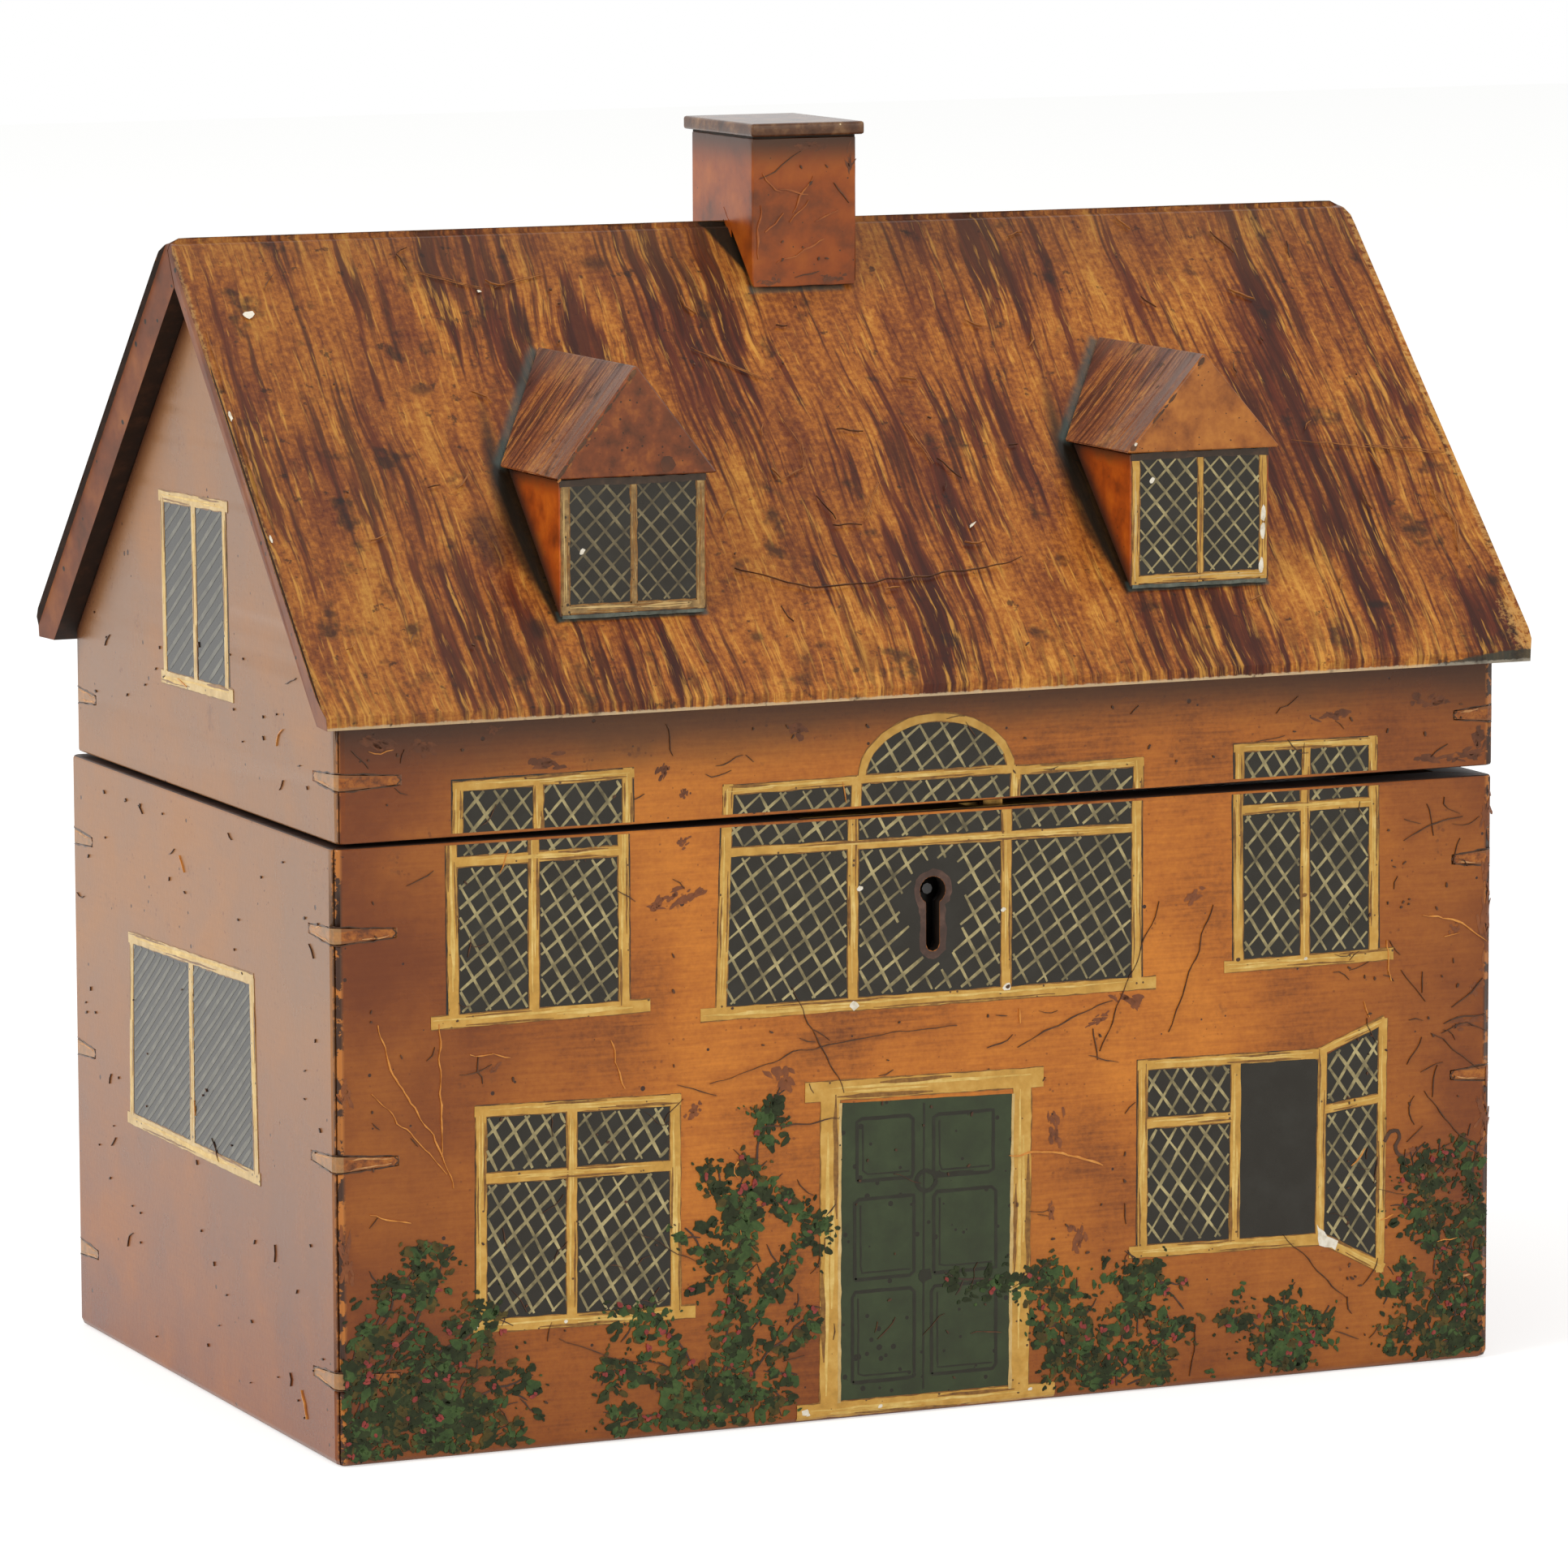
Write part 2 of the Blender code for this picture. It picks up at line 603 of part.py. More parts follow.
def hinge_leaf(name, middle, low, high, first, parent=None):
    # A plate let into a rim, with its own knuckles, notched for those of the other leaf.
    place = (middle, HINGE_Y, HINGE_Z)
    leaf = add_part(name, box(
        (-HINGE_LENGTH / 2, INNER_Y + HINGE_MARGIN - HINGE_Y, low - HINGE_Z),
        (HINGE_LENGTH / 2, 0, high - HINGE_Z),
    ), BRASS, place, parent)
    bore = (PIN_RADIUS + PIN_CLEARANCE) / math.cos(math.pi / ROUND_SIDES)
    notches = knuckles(1 - first, KNUCKLE_RADIUS + SEAT_GAP, KNUCKLE_GAP / 2)
    cut(leaf, add_cutter(f"{name}_notches", notches, place))
    join(leaf, add_cutter(f"{name}_knuckles", knuckles(first, KNUCKLE_RADIUS, 0), place))
    length = HINGE_LENGTH / 2 + OVERRUN
    cut(leaf, add_cutter(f"{name}_bore", rod(bore, -length, length), place))


def hinge(side, middle, lid):
    underside = lid_underside(middle)
    hinge_leaf(f"hinge_base_leaf_{side}", middle, BASE_HEIGHT - HINGE_LEAF, BASE_HEIGHT, 0)
    hinge_leaf(f"hinge_lid_leaf_{side}", middle, underside, underside + HINGE_LEAF, 1, lid)
    half_pin = HINGE_LENGTH / 2 + PIN_OVERHANG
    pin = rod(PIN_RADIUS, -half_pin, half_pin)
    round_edges(pin, [edge for edge in pin.edges if len(edge.link_faces[0].verts) > 4
                      or len(edge.link_faces[1].verts) > 4], PIN_ARRIS, 1)
    add_part(f"hinge_pin_{side}", pin, BRASS, (middle, HINGE_Y, HINGE_Z), smooth=True)


def hinge_recesses(side, middle):
    # The room for one hinge: its barrel, its base leaf and its lid leaf.
    half_length = HINGE_LENGTH / 2 + GLUE_GAP
    near = INNER_Y + HINGE_MARGIN - GLUE_GAP
    underside = lid_underside(middle)
    barrel = rod(KNUCKLE_RADIUS + SEAT_GAP, -half_length, half_length)
    base_leaf = box(
        (middle - half_length, near, BASE_HEIGHT - HINGE_LEAF - GLUE_GAP),
        (middle + half_length, HALF_DEPTH + OVERRUN, BASE_HEIGHT + OVERRUN))
    lid_leaf = box(
        (middle - half_length, near, underside - OVERRUN),
        (middle + half_length, HALF_DEPTH + OVERRUN, underside + HINGE_LEAF + GLUE_GAP))
    return (
        add_cutter(f"hinge_barrel_recess_{side}", barrel, (middle, HINGE_Y, HINGE_Z)),
        add_cutter(f"hinge_base_recess_{side}", base_leaf),
        add_cutter(f"hinge_lid_recess_{side}", lid_leaf),
    )


# Base

def base(hinge_rooms):
    heights = [BASE_HEIGHT * (1 - share) for share in BASE_KEY_SHARES]
    saw_cuts = mitre_keys("base", base_block, 0, BODY_WIDTH, heights)
    boards = {}
    for face, outward, reach, half_length in (
        ("front", (0, -1, 0), HALF_DEPTH, HALF_WIDTH),
        ("back", (0, 1, 0), HALF_DEPTH, HALF_WIDTH),
        ("left", (-1, 0, 0), HALF_WIDTH, HALF_DEPTH),
        ("right", (1, 0, 0), HALF_WIDTH, HALF_DEPTH),
    ):
        mesh = base_block()
        cut_board(mesh, 0, outward, reach, half_length)
        boards[face] = add_part(f"base_{face}", mesh, WALL_PAINT)
        cut(boards[face], saw_cuts)
    cut(boards["front"], *lock_recess())
    cut(boards["front"], keyhole_cutter("wall_keyhole", -HALF_DEPTH - OVERRUN, LOCK_MIDDLE))
    for barrel, base_leaf, _ in hinge_rooms:
        cut(boards["back"], barrel, base_leaf)
    bottom = box(
        (-INNER_X + GLUE_GAP, -INNER_Y + GLUE_GAP, 0),
        (INNER_X - GLUE_GAP, INNER_Y - GLUE_GAP, BOTTOM_BOARD))
    add_part("base_bottom", bottom, INNER_WOOD)


def linings():
    # Thin boards whose top edges carry the tea lids, and the partition between the compartments.
    outer_x = INNER_X - GLUE_GAP
    outer_y = INNER_Y - GLUE_GAP
    inner_y = outer_y - LINING
    for face, side in (("front", -1), ("back", 1)):
        low_y, high_y = sorted((side * outer_y, side * inner_y))
        board = box((-outer_x, low_y, FLOOR_HEIGHT), (outer_x, high_y, LEDGE_HEIGHT))
        add_part(f"lining_{face}", board, INNER_WOOD)
    half_span = inner_y - GLUE_GAP
    for face, side in (("left", -1), ("right", 1)):
        low_x, high_x = sorted((side * outer_x, side * (outer_x - LINING)))
        board = box((low_x, -half_span, FLOOR_HEIGHT), (high_x, half_span, LEDGE_HEIGHT))
        add_part(f"lining_{face}", board, INNER_WOOD)
    board = box(
        (-PARTITION / 2, -half_span, FLOOR_HEIGHT), (PARTITION / 2, half_span, LEDGE_HEIGHT))
    add_part("partition", board, INNER_WOOD)


def foil_liners():
    # A folded metal lining in each compartment, open at the top.
    near_x = PARTITION / 2 + SEAT_GAP
    far_x = INNER_X - GLUE_GAP - LINING - SEAT_GAP
    half_span = INNER_Y - GLUE_GAP - LINING - SEAT_GAP
    for end, side in (("left", -1), ("right", 1)):
        low_x, high_x = sorted((side * near_x, side * far_x))
        mesh = box(
            (low_x, -half_span, FLOOR_HEIGHT + SEAT_GAP),
            (high_x, half_span, LEDGE_HEIGHT - SEAT_GAP))
        lid_face = [face for face in mesh.faces if face.normal.z > 0.5]
        bmesh.ops.delete(mesh, geom=lid_face, context="FACES_ONLY")
        liner = add_part(f"foil_liner_{end}", mesh, LINER_FOIL)
        wall = liner.modifiers.new("Foil", "SOLIDIFY")
        wall.thickness = FOIL
        wall.offset = -1
        wall.use_even_offset = True


def tea_lids():
    # Each lid lifts clear of the walls of the base and of the lid above it.
    near_x = TEA_LID_PLAY / 2
    far_x = min(INNER_X, LID_WIDTH / 2 - abs(LID_SHIFT) - WALL) - TEA_LID_PLAY
    half_span = INNER_Y - TEA_LID_PLAY
    low = LEDGE_HEIGHT + SEAT_GAP
    for end, side in (("left", -1), ("right", 1)):
        middle = side * (near_x + far_x) / 2
        half_length = (far_x - near_x) / 2
        mesh = box((-half_length, -half_span, 0), (half_length, half_span, TEA_LID))
        upper = [edge for edge in mesh.edges if min(point.co.z for point in edge.verts) > 0]
        round_edges(mesh, upper, TEA_LID_ARRIS)
        lid = add_part(f"tea_lid_{end}", mesh, TEA_LID_WOOD, (middle, 0, low))
        tea_lid_knob(end, Vector((middle, 0, low + TEA_LID + GLUE_GAP)), lid)


def tea_lid_knob(end, foot, tea_lid):
    mesh = bmesh.new()
    points = []
    for radius_share, height_share in reversed(KNOB_PROFILE_SHARES):
        place = (radius_share * KNOB_RADIUS, 0, height_share * KNOB_HEIGHT)
        points.append(mesh.verts.new(place))
    for start, finish in zip(points, points[1:]):
        mesh.edges.new((start, finish))
    knob = add_part(f"tea_lid_knob_{end}", mesh, KNOB_BONE, foot, tea_lid)
    turning = knob.modifiers.new("Turning", "SCREW")
    turning.steps = KNOB_SIDES
    turning.render_steps = KNOB_SIDES
    turning.use_merge_vertices = True
    turning.merge_threshold = GLUE_GAP / 20
    turning.use_smooth_shade = True


# Lid

def lid_walls(lid, hinge_rooms, link_recess):
    underside = lid_underside(LID_SHIFT)
    height = underside + (SOFFIT_HEIGHT - underside) * LID_KEY_SHARE
    saw_cuts = mitre_keys("lid", lid_block, LID_SHIFT, LID_WIDTH, [height], lid)
    half_length = LID_WIDTH / 2
    boards = {}
    for name, outward, reach, length in (
        ("lid_front", (0, -1, 0), HALF_DEPTH, half_length),
        ("lid_back", (0, 1, 0), HALF_DEPTH, half_length),
        ("gable_left", (-1, 0, 0), half_length, HALF_DEPTH),
        ("gable_right", (1, 0, 0), half_length, HALF_DEPTH),
    ):
        mesh = lid_block()
        cut_board(mesh, LID_SHIFT, outward, reach, length)
        cut_under_roof(mesh)
        boards[name] = add_part(name, mesh, WALL_PAINT, parent=lid)
        cut(boards[name], saw_cuts)
    cut(boards["lid_front"], link_recess)
    for barrel, _, lid_leaf in hinge_rooms:
        cut(boards["lid_back"], barrel, lid_leaf)


def slope_height(distance):
    # Height of the roof's upper face at a distance from the ridge.
    return RIDGE_HEIGHT - distance * SLOPE


def roof_outline():
    # One slab from its end: the rounded ridge, the slope, the blunt eave, the level soffit and
    # the underside. Points are (distance from the ridge, height).
    centre = RIDGE_HEIGHT - RIDGE_ROUND / math.cos(ROOF_PITCH)
    joint = GLUE_GAP / 2
    first = math.asin(joint / RIDGE_ROUND)
    points = []
    for step in range(ARC_STEPS + 1):
        angle = first + step / ARC_STEPS * (ROOF_PITCH - first)
        points.append((RIDGE_ROUND * math.sin(angle), centre + RIDGE_ROUND * math.cos(angle)))
    points.append((EAVE_DISTANCE, SOFFIT_HEIGHT + EAVE_NOSE))
    points.append((EAVE_DISTANCE, SOFFIT_HEIGHT))
    points.append(((UNDER_RIDGE - SOFFIT_HEIGHT) / SLOPE, SOFFIT_HEIGHT))
    points.append((joint, UNDER_RIDGE - joint * SLOPE))
    return points


def roof_slab(name, side, lid):
    half_length = ROOF_LENGTH / 2
    mesh = outline_solid(
        roof_outline(), -half_length - OVERRUN, half_length + OVERRUN,
        ((0, side, 0), (0, 0, 1), (1, 0, 0)))
    upper = Vector((0, side * math.sin(ROOF_PITCH), math.cos(ROOF_PITCH)))
    for end in (-1, 1):
        arris = Vector((end * half_length, 0, RIDGE_HEIGHT))
        slice_off(mesh, arris, Vector((end, 0, 0)) - upper * math.tan(ROOF_UNDERCUT))
    sharp = [
        edge for edge in mesh.edges
        if max(abs(point.co.y) for point in edge.verts) > RIDGE_ROUND
        and edge.calc_face_angle() > ROOF_PITCH / 2
    ]
    round_edges(mesh, sharp, ROOF_ARRIS)
    add_part(name, mesh, THATCH_PAINT, parent=lid)


def roof_form():
    # The whole outside of the roof with the glue gap on it: what stands on the roof is cut to it.
    ridge = RIDGE_HEIGHT + GLUE_GAP / math.cos(ROOF_PITCH)
    foot = EAVE_DISTANCE - OVERRUN
    eave = ridge - foot * SLOPE
    low = SOFFIT_HEIGHT - OVERRUN
    points = ((0, ridge), (foot, eave), (foot, low), (-foot, low), (-foot, eave))
    mesh = outline_solid(
        points, -ROOF_LENGTH / 2, ROOF_LENGTH / 2, ((0, 1, 0), (0, 0, 1), (1, 0, 0)))
    return add_cutter("roof_form", mesh)


def chimney(form, lid):
    top = RIDGE_HEIGHT + CHIMNEY_RISE
    low = slope_height(max(CHIMNEY_FRONT, CHIMNEY_BACK)) - OVERRUN
    left = CHIMNEY_SHIFT - CHIMNEY_WIDTH / 2
    right = CHIMNEY_SHIFT + CHIMNEY_WIDTH / 2
    stack = add_part(
        "chimney_stack", box((left, -CHIMNEY_FRONT, low), (right, CHIMNEY_BACK, top)),
        BRICK_PAINT, parent=lid)
    cut(stack, form)
    foot = top + GLUE_GAP
    cap = box(
        (left - CAP_SIDE_OVERHANG, -CHIMNEY_FRONT - CAP_END_OVERHANG, foot),
        (right + CAP_SIDE_OVERHANG, CHIMNEY_BACK + CAP_END_OVERHANG, foot + CAP_THICKNESS))
    round_edges(cap, cap.edges[:], CAP_ARRIS)
    add_part("chimney_cap", cap, BRICK_PAINT, parent=lid)


def dormer(side, end, inset, rise, form, lid):
    middle = end * (HALF_WIDTH - inset - DORMER_WIDTH / 2)
    front = HALF_DEPTH - DORMER_SETBACK
    top = slope_height(front) + DORMER_HEIGHT
    reach = front - DORMER_HEIGHT / SLOPE - OVERRUN
    body = add_part(f"dormer_body_{side}", box(
        (middle - DORMER_WIDTH / 2, -front, slope_height(front) - OVERRUN),
        (middle + DORMER_WIDTH / 2, -reach, top),
    ), BRICK_PAINT, parent=lid)
    cut(body, form)
    half_width = DORMER_WIDTH / 2 + DORMER_SIDE_OVERHANG
    foot = top + GLUE_GAP
    points = ((-half_width, foot), (half_width, foot), (0, foot + rise))
    back = front - (DORMER_HEIGHT + rise) / SLOPE - OVERRUN
    mesh = outline_solid(
        points, -front - DORMER_FRONT_OVERHANG, -back, ((1, 0, 0), (0, 0, 1), (0, 1, 0)))
    round_edges(mesh, mesh.edges[:], DORMER_ARRIS, 1)
    bmesh.ops.translate(mesh, vec=(middle, 0, 0), verts=mesh.verts)
    roof = add_part(f"dormer_roof_{side}", mesh, THATCH_PAINT, parent=lid)
    cut(roof, form)


# Assembly

def build():
    lid = add_empty("lid_hinge_axis", (0, HINGE_Y, HINGE_Z))
    hinge_middle = HALF_WIDTH - HINGE_INSET - HINGE_LENGTH / 2
    hinge_places = (("left", -hinge_middle), ("right", hinge_middle))
    hinge_rooms = [hinge_recesses(side, middle) for side, middle in hinge_places]
    base(hinge_rooms)
    linings()
    foil_liners()
    tea_lids()
    lock()
    lid_walls(lid, hinge_rooms, link_plate(lid))
    for side, middle in hinge_places:
        hinge(side, middle, lid)
    roof_slab("roof_front", -1, lid)
    roof_slab("roof_back", 1, lid)
    form = roof_form()
    chimney(form, lid)
    dormer("left", -1, LEFT_DORMER_INSET, LEFT_DORMER_RISE, form, lid)
    dormer("right", 1, RIGHT_DORMER_INSET, RIGHT_DORMER_RISE, form, lid)


build()
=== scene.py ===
# A painted wooden tea caddy in the shape of a thatched cottage, about 1815.
# Sizes in the dictionaries are millimetres; a mesh is scaled to metres when its piece is made.
# The settings of each piece stand beside the code that uses them.

import json
import math
import random
from functools import partial

import bmesh
import bpy
from mathutils import Matrix, Vector, noise

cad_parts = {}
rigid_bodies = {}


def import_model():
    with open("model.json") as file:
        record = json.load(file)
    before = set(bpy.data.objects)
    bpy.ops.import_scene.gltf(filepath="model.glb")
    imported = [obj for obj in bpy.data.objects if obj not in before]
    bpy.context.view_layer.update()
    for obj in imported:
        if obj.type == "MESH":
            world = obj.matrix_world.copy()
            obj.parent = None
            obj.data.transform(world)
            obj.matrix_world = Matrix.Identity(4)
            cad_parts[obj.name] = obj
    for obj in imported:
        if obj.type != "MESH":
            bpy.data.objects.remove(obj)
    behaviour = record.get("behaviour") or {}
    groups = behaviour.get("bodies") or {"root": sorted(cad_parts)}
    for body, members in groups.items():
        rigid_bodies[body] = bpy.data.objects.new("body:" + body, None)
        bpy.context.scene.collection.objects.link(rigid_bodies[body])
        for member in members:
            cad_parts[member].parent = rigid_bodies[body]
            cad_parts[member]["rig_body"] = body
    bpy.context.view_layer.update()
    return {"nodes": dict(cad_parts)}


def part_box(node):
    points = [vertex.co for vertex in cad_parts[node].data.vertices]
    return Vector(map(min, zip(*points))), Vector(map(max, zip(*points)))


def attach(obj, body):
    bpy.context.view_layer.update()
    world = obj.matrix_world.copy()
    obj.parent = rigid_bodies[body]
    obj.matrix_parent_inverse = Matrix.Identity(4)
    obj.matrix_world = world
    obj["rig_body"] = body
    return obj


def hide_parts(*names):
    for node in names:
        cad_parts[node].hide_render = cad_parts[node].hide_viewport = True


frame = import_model()
mm = 0.001
print("frame loaded:", len(frame["nodes"]), "nodes")


# Colours and nodes

def tint(code):
    # An sRGB hex colour as linear values.
    levels = [int(code[i:i + 2], 16) / 255 for i in (0, 2, 4)]
    linear = [v / 12.92 if v <= 0.04045 else ((v + 0.055) / 1.055) ** 2.4 for v in levels]
    return (*linear, 1)


def addNode(tree, kind, feeds=(), operation=None, out=0, stops=None, **settings):
    # One node with its settings. Feeds are values, hex colours or other nodes' outputs: in a list
    # they follow the sockets that the node shows, in a dictionary they go by socket name.
    made = tree.nodes.new("ShaderNode" + kind)
    if operation:
        made.operation = operation
    for name, value in settings.items():
        setattr(made, name, value)
    if isinstance(feeds, dict):
        pairs = [(made.inputs[name], value) for name, value in feeds.items()]
    else:
        pairs = zip([socket for socket in made.inputs if socket.enabled], feeds)
    for socket, value in pairs:
        if isinstance(value, bpy.types.NodeSocket):
            tree.links.new(value, socket)
        else:
            socket.default_value = tint(value) if isinstance(value, str) else value
    if stops:
        ramp = made.color_ramp.elements
        for position, code in stops[1:-1]:
            ramp.new(position)
        for element, (position, code) in zip(ramp, stops):
            element.position = position
            element.color = tint(code)
    if out is None:
        return made
    return made.outputs[out] if out else next(o for o in made.outputs if o.enabled)


def startMaterial(name, values):
    # A material, addNode for its own tree, and the Object coordinates.
    material = bpy.data.materials.new(name)
    material.use_nodes = True
    shader = material.node_tree.nodes["Principled BSDF"]
    for socket, value in values.items():
        shader.inputs[socket].default_value = value
    add = partial(addNode, material.node_tree)
    return material, add, add("TexCoord", out="Object")


def finishMaterial(material, colour, normal, others=None):
    # Links the finished colour, relief and other outputs to the shader.
    shader = material.node_tree.nodes["Principled BSDF"]
    for socket, output in {"Base Color": colour, "Normal": normal, **(others or {})}.items():
        material.node_tree.links.new(output, shader.inputs[socket])
    return material


def overlaid(add, colour, code, value, start, end, most=1, **settings):
    # Another colour over this one, that grows as a value goes from start to end.
    amount = add("MapRange", [value, start, end, 0, most], **settings)
    return add("Mix", [amount, colour, code], data_type="RGBA")


def scaleOf(size):
    # The scale at which a pattern repeats about every size millimetres.
    return 1 / (size * mm)


ridgeTop = 167.25  # where the two roof slopes would meet
roofPitch = math.radians(45.3)
slopeRise = 1.0105  # what the roof rises in a millimetre towards the ridge
slopeDrop = 0.7108  # what it falls in a millimetre down the slope
varnishTint = (0.46, 0.4, 0.33, 1)  # dulls the head-on gloss of the old varnish
varnishIor = 1.68  # old resin varnish over oil paint shines strongly at a low angle


# Oil paint brushed on wood under old varnish: soft gloss, uneven colour, specks of dirt
def oilPaint(name, colours, grain=1.2, stretch=(1, 1, 1), specks=0.0, speckSize=1.6,
             speckColour="1d1712", roughness=0.3, relief=0.03, contrast=0.5, shadeBelowLedge=None,
             gloss=varnishIor, valley=0, within=None):
    material, add, spot = startMaterial(name, {"Roughness": roughness, "IOR": gloss,
                                               "Specular Tint": varnishTint})
    drawn = add("Mapping", {"Vector": spot, "Scale": stretch})
    fine = add("TexNoise", [drawn, scaleOf(grain), 5, 0.62])
    colour = add("ValToRGB", [fine], stops=[(0.5 - contrast / 2, colours[0]), (0.5, colours[1]),
                                            (0.5 + contrast / 2, colours[2])])
    if specks:
        cells = add("TexVoronoi", [spot, scaleOf(speckSize)])
        patchy = add("TexNoise", [spot, scaleOf(speckSize * 3)])
        reach = add("Math", [patchy, specks], "MULTIPLY")
        dirt = add("Math", [cells, reach], "LESS_THAN")
        colour = add("Mix", [dirt, colour, speckColour], data_type="RGBA")
    xyz = add("SeparateXYZ", [spot], out=None).outputs
    if shadeBelowLedge:
        # painted shade just below a ledge: its height and how far down it reaches
        ledge, reach, strength = shadeBelowLedge
        ragged = add("Math", [fine, 0.004, xyz["Z"]], "MULTIPLY_ADD")
        colour = overlaid(add, colour, speckColour, ragged, (ledge - reach + 2) * mm,
                          (ledge + 2) * mm, strength, interpolation_type="SMOOTHSTEP")
    if within:
        # another colour inside the box, between the end walls
        inBox = add("Math", [xyz["X"]], "ABSOLUTE")
        colour = overlaid(add, colour, within, inBox, 0.0888, 0.0884, 0.8)
    if valley:
        # painted shade in the crease just above the roof's slope, reaching so many millimetres
        above = add("Math", [xyz["Y"], -slopeRise, xyz["Z"]], "MULTIPLY_ADD")
        above = add("Math", [fine, -2 * mm, above], "MULTIPLY_ADD")
        colour = overlaid(add, colour, speckColour, above, (166.2 + valley) * mm, 166.4 * mm, 0.93,
                          interpolation_type="SMOOTHSTEP")
    bump = add("Bump", {"Height": fine, "Distance": relief * mm, "Strength": 0.7})
    return finishMaterial(material, colour, bump)


# The walls: orange oil paint on smooth wood, varnished, browned at the ends and foot, with painted
# shade below the eaves and the back slabs and a painted sheen on the left end wall. The eye sees
# fine level brush lines, cloudy patches, small dents filled with dirt, and a dark band under the
# eaves, grime with painted shade.
wallFinish = {
    "deep": "6b3510", "body": "a95e1c", "glow": "c67727",
    "grimeAndShade": "34180e", "smudge": "5a301b", "ends": "662c0c", "paintedSheen": "a88a60",
    "brushLine": 0.45, "cloud": 26, "smudgeSize": 7, "dentSpacing": 2.6, "crackle": 0.9,
    "eave": 103.3, "eaveShadeReach": 9, "roughness": 0.27, "paintedLightTone": "4a2210", "brightest": 5,
    "arris": "38221a", "arrisRubbed": "a8662c",
}


def wallPaint():
    s = wallFinish
    material, add, spot = startMaterial("varnished oil paint on wood",
                                        {"Roughness": s["roughness"], "IOR": varnishIor,
                                         "Specular Tint": varnishTint})
    xyz = add("SeparateXYZ", [spot], out=None).outputs
    level = add("Mapping", {"Vector": spot, "Scale": (0.06, 0.06, 1)})
    brush = add("TexNoise", [level, scaleOf(s["brushLine"]), 4, 0.6])
    cloud = add("TexNoise", [spot, scaleOf(s["cloud"]), 5, 0.58])
    fine = add("TexNoise", [spot, scaleOf(s["crackle"]), 6, 0.7])
    mixed = add("Math", [brush, 0.35, 0.0], "MULTIPLY_ADD")
    mixed = add("Math", [cloud, 0.85, mixed], "MULTIPLY_ADD")
    mixed = add("Math", [fine, 0.35, mixed], "MULTIPLY_ADD")
    colour = add("ValToRGB", [mixed], stops=[(0.55, s["deep"]), (0.74, s["body"]),
                                             (0.95, s["glow"])])
    # browner towards the ends and the foot of the front, and on the lid's low boards as painted
    # shade under the eaves
    endways = add("Math", [xyz["X"], s["brightest"] * mm], "SUBTRACT")
    endways = add("Math", [endways], "ABSOLUTE")
    ends = add("MapRange", [endways, 0.042, 0.084, 0, 0.88])
    foot = add("MapRange", [xyz["Z"], 0.045, 0.0, 0, 0.72])
    lid = add("MapRange", [xyz["Z"], 0.0855, 0.0875, 0, 0.08])
    brown = add("Math", [ends, foot], "MAXIMUM")
    brown = add("Math", [brown, lid], "MAXIMUM")
    uneven = add("MapRange", [cloud, 0.35, 0.62, 1.06, 0.74])
    brown = add("Math", [brown, uneven], "MULTIPLY", use_clamp=True)
    colour = add("Mix", [brown, colour, s["ends"]], data_type="RGBA")
    # painted sheen: the left end wall is paler, more so higher up
    paintedSheen = add("MapRange", [xyz["X"], -0.0887, -0.0889])
    above = add("MapRange", [xyz["Z"], 0.0, 0.06, 0, 0.32])
    paintedSheen = add("Math", [paintedSheen, above], "MULTIPLY")
    colour = add("Mix", [paintedSheen, colour, s["paintedSheen"]], data_type="RGBA")
    # painted shade: darker brown on the gables below the back slab
    under = add("Math", [xyz["Y"], slopeRise, xyz["Z"]], "MULTIPLY_ADD")
    under = add("Math", [cloud, 0.008, under], "MULTIPLY_ADD")
    under = add("MapRange", [under, 0.1555, 0.164, 0, 0.9], interpolation_type="SMOOTHSTEP")
    behind = add("MapRange", [xyz["Y"], -0.002, 0.004])
    under = add("Math", [under, behind], "MULTIPLY")
    colour = add("Mix", [under, colour, s["paintedLightTone"]], data_type="RGBA")
    # smudges, and small dents that hold dirt
    blotted = add("TexNoise", [spot, scaleOf(s["smudgeSize"]), 6, 0.72])
    colour = overlaid(add, colour, s["smudge"], blotted, 0.63, 0.78, 0.7)
    cells = add("TexVoronoi", [spot, scaleOf(s["dentSpacing"])])
    often = add("TexNoise", [spot, scaleOf(9), 3])
    often = add("MapRange", [often, 0.46, 0.75, 0, 0.2])
    dent = add("Math", [often, cells], "SUBTRACT")
    dent = add("MapRange", [dent, 0, 0.025])
    colour = add("Mix", [dent, colour, s["grimeAndShade"]], data_type="RGBA")
    cells = add("TexVoronoi", [spot, scaleOf(1.25)])
    often = add("MapRange", [blotted, 0.42, 0.7, 0, 0.3])
    fleck = add("Math", [often, cells], "SUBTRACT")
    colour = overlaid(add, colour, s["deep"], fleck, 0, 0.05, 0.6)
    # grime and painted shade under the eaves: a dark band below them
    ragged = add("Math", [cloud, 0.012, xyz["Z"]], "MULTIPLY_ADD")
    shadeBelowLedge = add("MapRange", [ragged, (s["eave"] - s["eaveShadeReach"] + 5) * mm, (s["eave"] + 5) * mm,
                            0, 0.85], interpolation_type="SMOOTHSTEP")
    inFront = add("Math", [xyz["Y"]], "ABSOLUTE")
    inFront = add("MapRange", [inFront, 0.0525, 0.0545])
    shadeBelowLedge = add("Math", [shadeBelowLedge, inFront], "MULTIPLY")
    colour = add("Mix", [shadeBelowLedge, colour, s["grimeAndShade"]], data_type="RGBA")
